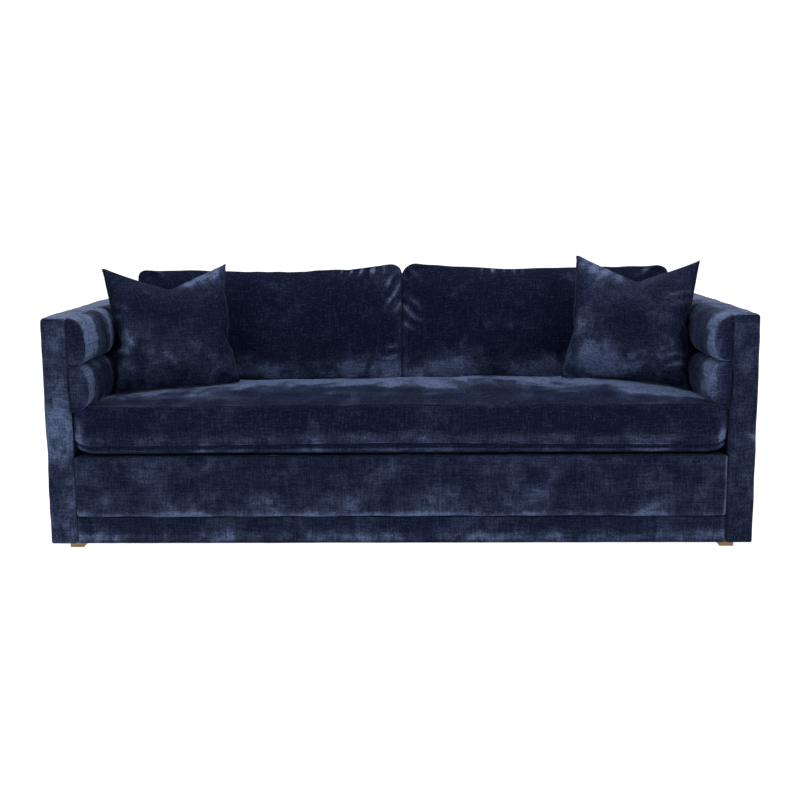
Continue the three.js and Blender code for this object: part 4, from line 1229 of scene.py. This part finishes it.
class SOFA_OT_pillows(bpy.types.Operator):
    """Fill and chop the two knife-edged pillows"""

    bl_idname = "sofa.pillows"
    bl_label = "Pillows"

    cells = 54
    edge = 3 * MM

    def execute(self, context):
        look = context.scene.tuxedo_sofa.pillow
        for side, sign in SIDES.items():
            lean = look.lean_left if sign < 0 else look.lean_right
            axes = self.axes(f"throw_pillow_{side}", -sign * look.turn, lean, sign * look.roll)
            self.pillow(look, side, sign, axes)
        return {"FINISHED"}

    def axes(self, node, turn, lean, roll):
        """The plane of a pillow that is rolled, leant back and then turned."""
        across = np.array([math.cos(roll), 0, -math.sin(roll)])
        up = np.array([math.sin(roll), 0, math.cos(roll)])
        tilt = np.array([
            [1, 0, 0],
            [0, math.cos(lean), math.sin(lean)],
            [0, -math.sin(lean), math.cos(lean)],
        ])
        spin = np.array([
            [math.cos(turn), -math.sin(turn), 0],
            [math.sin(turn), math.cos(turn), 0],
            [0, 0, 1],
        ])
        return Axes(node, spin @ tilt @ across, spin @ tilt @ up)

    def pillow(self, look, side, sign, axes):
        """One pillow: filled and chopped, and then given its ridge, its folds and its pile."""
        width, height, _ = axes.size
        # Cells get smaller towards the edges, where the cloth bends most
        crowding = 0.86
        quarter = math.pi / 2
        spread = np.sin(np.linspace(-quarter, quarter, self.cells + 1) * crowding)
        even = spread / math.sin(quarter * crowding)
        form = shell(even, even, THIN)
        self.simulate(form, look, width, height)
        a, b, c = (form.unit[:, k] for k in range(3))
        form.points = form.points + axes.middle
        from_top = (1 - b) * height / 2
        inwards = -a * sign
        # A scalloped ridge runs below the inner half of the top edge
        ridge_place, ridge_width, ridge_rise = 30 * MM, 34 * MM, 4.5 * MM
        scallop_pitch, scallop_rise = 52 * MM, 1.5 * MM
        ridge = bell(from_top - ridge_place, ridge_width) * np.clip((inwards + 0.05) / 0.25, 0, 1)
        ridge *= np.clip((0.97 - inwards) / 0.15, 0, 1)
        turns = a * width / 2 / scallop_pitch
        scallops = np.cos(2 * math.pi * turns + 2 * ripple(form.points, 0.15, 90 + sign))
        form.points[:, 0] += -sign * look.straight * np.clip(inwards, 0, 1) ** 4 * bell(b + 0.05, 0.5)
        if sign > 0:
            form.points[:, 1] += look.drawn_up * (1 - a**2) * np.clip(-b, 0, 1) ** 4
            form.points[:, 0] -= (form.points[:, 0] - axes.middle[0]) * look.taper * np.clip(b, 0, 1)
        front = c > 0
        half = np.array([width, height]) / 2
        folds = front * creases(form.points - axes.middle, half, PILLOW_FOLDS[side], sign)
        form.push(front * ridge * (ridge_rise + scallop_rise * scallops) + folds)

        # Painted highlights on the ridge along the top, on the folds and along the top seam, and painted
        # light low on the front
        painted_light_low = bell(b + 0.64, 0.32) * (0.8 + 0.3 * inwards * sign)
        form.pressed = 0.30 + 0.05 * sign + 0.50 * painted_light_low + ridge * (0.66 - 0.08 * sign + 0.14 * scallops)
        form.pressed += 0.10 * ripple(form.points, 0.17, 95 + sign) + np.clip(folds / (3 * MM), 0, 0.4)
        if sign < 0:
            form.pressed += 0.5 * bell(inwards + 0.82, 0.14) * bell(b + 0.25, 0.35)
        else:
            # Painted light low in the middle of the right pillow
            form.pressed += 0.4 * bell(a + 0.15, 0.55) * bell(b + 0.85, 0.25)
        # A painted highlight along the top seam, fading at the corners
        form.pressed += 0.5 * bell(from_top, 4 * MM) * np.clip(1 - np.abs(a), 0, 0.1) * 10
        # Painted shade at the side edges and across the upper middle
        form.pressed -= 0.50 * bell(1 - np.abs(a), 0.02) + 0.12 * bell(b - 0.25, 0.3)
        made = form.build(f"pillow_{side}", velvet(), axes.matrix, drift=17 + sign)
        smooth = made.modifiers.new("smooth", "SUBSURF")
        smooth.levels = smooth.render_levels = 1
        dress(made, f"{side}_pillow", "velvet", f"throw_pillow_{side}", fill=0.65)

    def flat(self, form, width, height):
        """Two squares of cloth, sewn together round their edges."""
        return form.unit * np.array([width / 2, height / 2, self.edge])

    def shape(self, form, look, width, height):
        """A plain stand-in for the simulated pillow."""
        a, b, c = (form.unit[:, k] for k in range(3))
        full = np.maximum((1 - a**4) * (1 - b**4), 0) ** 0.55
        dent = bell(a * width / 2, look.chop_width)
        points = self.flat(form, width, height)
        points[:, 0] -= 30 * MM * (1 - b**2) * a
        points[:, 1] -= 14 * MM * (1 - a**2) * b * (b < 0) + look.chop * dent * np.clip(b, 0, 1) ** 2
        points[:, 2] += c * look.thickness / 2 * full * (1 - 0.5 * dent * np.clip(b, 0, 1) ** 3)
        form.points = points

    def simulate(self, form, look, width, height):
        """Fills the cloth by air pressure, while the middle of its top edge is pressed down."""
        scene = bpy.context.scene
        # The cloth is cut larger than the pillow, and its top edge is partly chopped from the start
        slack, corner_share, early_share, resting_rise = 1.03, 0.985, 0.8, 5 * MM
        flat = self.flat(form, width * slack, height * slack)
        a, b = form.unit[:, 0], form.unit[:, 1]
        corner = (np.abs(a) > corner_share) & (np.abs(b) > corner_share)
        dent = np.clip(1 - np.abs(a - look.chop_aside) / look.chop_reach, 0, 1) ** 0.9
        pressed_edge = (b >= 1) & (dent > 0)
        resting_edge = b <= -1
        flat[:, 1] -= early_share * look.chop * dent * np.clip(b, 0, 1) ** 1.5
        mesh = bpy.data.meshes.new("cloth")
        mesh.from_pydata(flat.tolist(), [], form.quads.tolist())
        cloth = bpy.data.objects.new("cloth", mesh)
        scene.collection.objects.link(cloth)
        held = cloth.vertex_groups.new(name="held")
        held.add(np.nonzero(corner | pressed_edge | resting_edge)[0].tolist(), 1.0, "REPLACE")
        cloth.shape_key_add(name="flat")
        chopped = cloth.shape_key_add(name="chopped")
        target = flat.copy()
        target[:, :2] *= 1 / slack
        target[:, 1] = np.where(pressed_edge, height / 2 - look.chop * dent, target[:, 1])
        target[:, 1] += np.where(resting_edge, resting_rise * (1 - a**2), 0)
        chopped.data.foreach_set("co", target.ravel())
        first, chop_starts, chop_ends, last = 1, 6, 26, 34
        for at, value in ((first, 0.0), (chop_starts, 0.0), (chop_ends, 1.0)):
            chopped.value = value
            chopped.keyframe_insert("value", frame=at)
        modifier = cloth.modifiers.new("cloth", "CLOTH")
        fabric = modifier.settings
        fabric.quality = 6
        fabric.mass = 0.35
        fabric.tension_stiffness = 22
        fabric.compression_stiffness = 18
        fabric.shear_stiffness = 6
        fabric.bending_stiffness = 1.2
        fabric.tension_damping = fabric.compression_damping = 12
        fabric.air_damping = 6
        fabric.use_pressure = True
        fabric.uniform_pressure_force = 3.5
        fabric.vertex_group_mass = "held"
        fabric.effector_weights.gravity = 0
        modifier.point_cache.frame_start, modifier.point_cache.frame_end = first, last
        for at in range(first, last + 1):
            scene.frame_set(at)
        graph = bpy.context.evaluated_depsgraph_get()
        result = cloth.evaluated_get(graph).to_mesh()
        points = np.array([v.co for v in result.vertices])
        scene.frame_set(first)
        bpy.data.objects.remove(cloth)
        # Filling changes the size a little, so it is brought back to the solid's
        thick = points[:, 2].max() - points[:, 2].min()
        points[:, 2] *= look.thickness / thick
        for k, size in ((0, width), (1, height)):
            points[:, k] -= (points[:, k].max() + points[:, k].min()) / 2
            points[:, k] *= size / (points[:, k].max() - points[:, k].min())
        form.points = points


# Wood, metal and the cloths inside

class SOFA_OT_feet(bpy.types.Operator):
    """Round the edges of the oak feet and give them their grain"""

    bl_idname = "sofa.feet"
    bl_label = "Feet"

    def execute(self, context):
        oak = wood("oak", (0.44, 0.27, 0.105), (0.27, 0.155, 0.058), ring=9.0, roughness=0.45)
        for name, node in list(frame["nodes"].items()):
            if name.startswith("foot_") and not name.startswith(("foot_bolt", "foot_plate")):
                made = bpy.data.objects.new(f"oak_{name}", node.data.copy())
                context.scene.collection.objects.link(made)
                made.data.materials.clear()
                made.data.materials.append(oak)
                bevel = made.modifiers.new("eased edges", "BEVEL")
                bevel.width = 1.2 * MM
                bevel.segments = 2
                bevel.angle_limit = math.radians(40)
                dress(made, "sofa_frame", "foot_wood", name)
        return {"FINISHED"}


class SOFA_OT_inner_frame(bpy.types.Operator):
    """Finish what the covers hide: hardwood, springs, webbing, linings, foam and zip"""

    bl_idname = "sofa.inner_frame"
    bl_label = "Inner frame"

    def execute(self, context):
        finishes = {
            "frame_wood": wood("frame_wood", (0.55, 0.38, 0.20), (0.36, 0.23, 0.11), ring=6.0, roughness=0.6),
            "steel": steel(),
            "foam": foam(),
            "webbing": woven("webbing", (0.45, 0.38, 0.26), (0.30, 0.25, 0.16), pitch=2 * MM),
            "lining": woven("lining", (0.012, 0.016, 0.036), (0.02, 0.026, 0.05), pitch=1.2 * MM),
            "dust_cloth": woven("dust_cloth", (0.012, 0.012, 0.013), (0.022, 0.022, 0.024), pitch=1.5 * MM),
            "zip": woven("zip", (0.01, 0.013, 0.03), (0.03, 0.035, 0.06), pitch=1 * MM),
        }
        places = {
            "frame_wood": ("arm_front_post", "arm_rear_post", "arm_top_rail", "arm_side_rail", "arm_liner",
                           "front_rail", "back_rail", "cross_rail", "back_upright", "back_top", "back_lower",
                           "foot_plate"),
            "steel": ("seat_springs", "foot_bolt"),
            "foam": ("seat_cushion_core",),
            "webbing": ("back_webbing",),
            "lining": ("arm_lower_lining", "seat_deck"),
            "dust_cloth": ("dust_cloth",),
            "zip": ("seat_cushion_zip",),
        }
        for slot_name, starts in places.items():
            for name, node in frame["nodes"].items():
                if name.startswith(starts) and not node.hide_render:
                    node.data.materials.clear()
                    node.data.materials.append(finishes[slot_name])
        return {"FINISHED"}


# Stage

class SOFA_OT_stage(bpy.types.Operator):
    """Set up the camera, a pale floor and soft studio light"""

    bl_idname = "sofa.stage"
    bl_label = "Stage"

    image_width = 800
    focal_pixels = 1222

    def execute(self, context):
        look = context.scene.tuxedo_sofa.stage
        self.camera(context, look)
        self.floor(context, look)
        self.lights(context, look)
        context.scene.view_settings.view_transform = "Standard"
        return {"FINISHED"}

    def camera(self, context, look):
        """Where the photograph was taken from."""
        data = bpy.data.cameras.new("camera")
        data.sensor_width = 36
        data.lens = data.sensor_width * self.focal_pixels / self.image_width
        camera = bpy.data.objects.new("camera", data)
        context.scene.collection.objects.link(camera)
        camera.location = (look.camera_x, look.camera_y, look.camera_z)
        turns = ((look.turn, "Z"), (math.pi / 2 - look.tilt, "X"), (-look.roll, "Z"))
        turned, tipped, rolled = (Matrix.Rotation(angle, 3, axis) for angle, axis in turns)
        camera.rotation_euler = (turned @ tipped @ rolled).to_euler()
        context.scene.camera = camera

    def floor(self, context, look):
        """A floor that glows, so that it comes out nearly white."""
        data = bpy.data.meshes.new("floor")
        reach, sides = 200.0, 64
        angles = np.linspace(0, 2 * math.pi, sides, endpoint=False)
        rim = [(reach * math.cos(angle), reach * math.sin(angle), 0) for angle in angles]
        data.from_pydata(rim, [], [list(range(sides))])
        floor = bpy.data.objects.new("floor", data)
        context.scene.collection.objects.link(floor)
        f = Finish("floor")
        haze = f.noise(f.place(), 0.8, detail=2.0)
        tint = tuple(look.floor)
        f.surface(
            Base_Color=f.mixed(haze * 0.1, tint, (0.3, 0.3, 0.3)),
            Roughness=0.7,
            Specular_IOR_Level=0.0,
            Emission_Color=(1, 1, 1, 1),
            Emission_Strength=1.0,
        )
        data.materials.append(f.material)

    def lights(self, context, look):
        """A wall that glows behind the sofa, a dim room in front, and three softboxes."""
        world = bpy.data.worlds.new("studio")
        context.scene.world = world
        world.use_nodes = True
        n = Nodes(world.node_tree)
        behind = n.node("ShaderNodeSeparateXYZ", None, {0: n.node("ShaderNodeTexCoord")}, output=1)
        spread = {"Value": behind, "From Min": -0.3, "From Max": 0.5}
        spread.update({"To Min": look.front, "To Max": look.wall})
        strength = n.node("ShaderNodeMapRange", {"interpolation_type": "SMOOTHSTEP"}, spread)
        background = world.node_tree.nodes["Background"]
        n.feed(background.inputs["Color"], (1, 1, 1, 1))
        n.feed(background.inputs["Strength"], strength)
        # Each one's place, what it points at, its size and its power in watts
        softboxes = {
            "key": ((-2.4, -3.2, 2.6), (0, 0, 0.4), (1.6, 1.2), 40),
            "side": ((2.6, -2.2, 2.4), (-0.4, 0, 0.5), (1.2, 1.2), 36),
            "top": ((0.0, -0.3, 3.2), (0, -0.2, 0.4), (3.6, 1.2), 60),
        }
        for name, (place, aim, (wide, tall), watts) in softboxes.items():
            data = bpy.data.lights.new(name, "AREA")
            data.shape = "RECTANGLE"
            data.size, data.size_y = wide, tall
            data.energy = watts
            light = bpy.data.objects.new(name, data)
            context.scene.collection.objects.link(light)
            light.location = place
            light.rotation_euler = (Vector(aim) - Vector(place)).to_track_quat("-Z", "Y").to_euler()


PIECES = (
    SOFA_OT_stage,
    SOFA_OT_arm_covers,
    SOFA_OT_arm_channels,
    SOFA_OT_front_covers,
    SOFA_OT_back_covers,
    SOFA_OT_seat_cushion,
    SOFA_OT_back_cushions,
    SOFA_OT_pillows,
    SOFA_OT_feet,
    SOFA_OT_inner_frame,
)


class SOFA_PT_panel(bpy.types.Panel):
    """Lists the pieces of the sofa and their settings"""

    bl_label = "Tuxedo sofa"
    bl_idname = "SOFA_PT_panel"
    bl_space_type = "VIEW_3D"
    bl_region_type = "UI"
    bl_category = "Sofa"

    def draw(self, context):
        for piece in PIECES:
            self.layout.operator(piece.bl_idname)
        sofa = context.scene.tuxedo_sofa
        for group in sofa.bl_rna.properties.keys():
            settings = getattr(sofa, group, None)
            if isinstance(settings, bpy.types.PropertyGroup):
                box = self.layout.box()
                box.label(text=group.replace("_", " ").capitalize())
                for name in settings.__annotations__:
                    box.prop(settings, name)


CLASSES = (
    VelvetSettings,
    CoverSettings,
    ChannelSettings,
    SeatSettings,
    BackCushionSettings,
    PillowSettings,
    StageSettings,
    SofaSettings,
    *PIECES,
    SOFA_PT_panel,
)


def register():
    for cls in CLASSES:
        bpy.utils.register_class(cls)
    bpy.types.Scene.tuxedo_sofa = bpy.props.PointerProperty(type=SofaSettings)


def unregister():
    del bpy.types.Scene.tuxedo_sofa
    for cls in reversed(CLASSES):
        bpy.utils.unregister_class(cls)


def main():
    register()
    for piece in PIECES:
        group, name = piece.bl_idname.split(".")
        getattr(getattr(bpy.ops, group), name)()


if __name__ == "__main__":
    main()
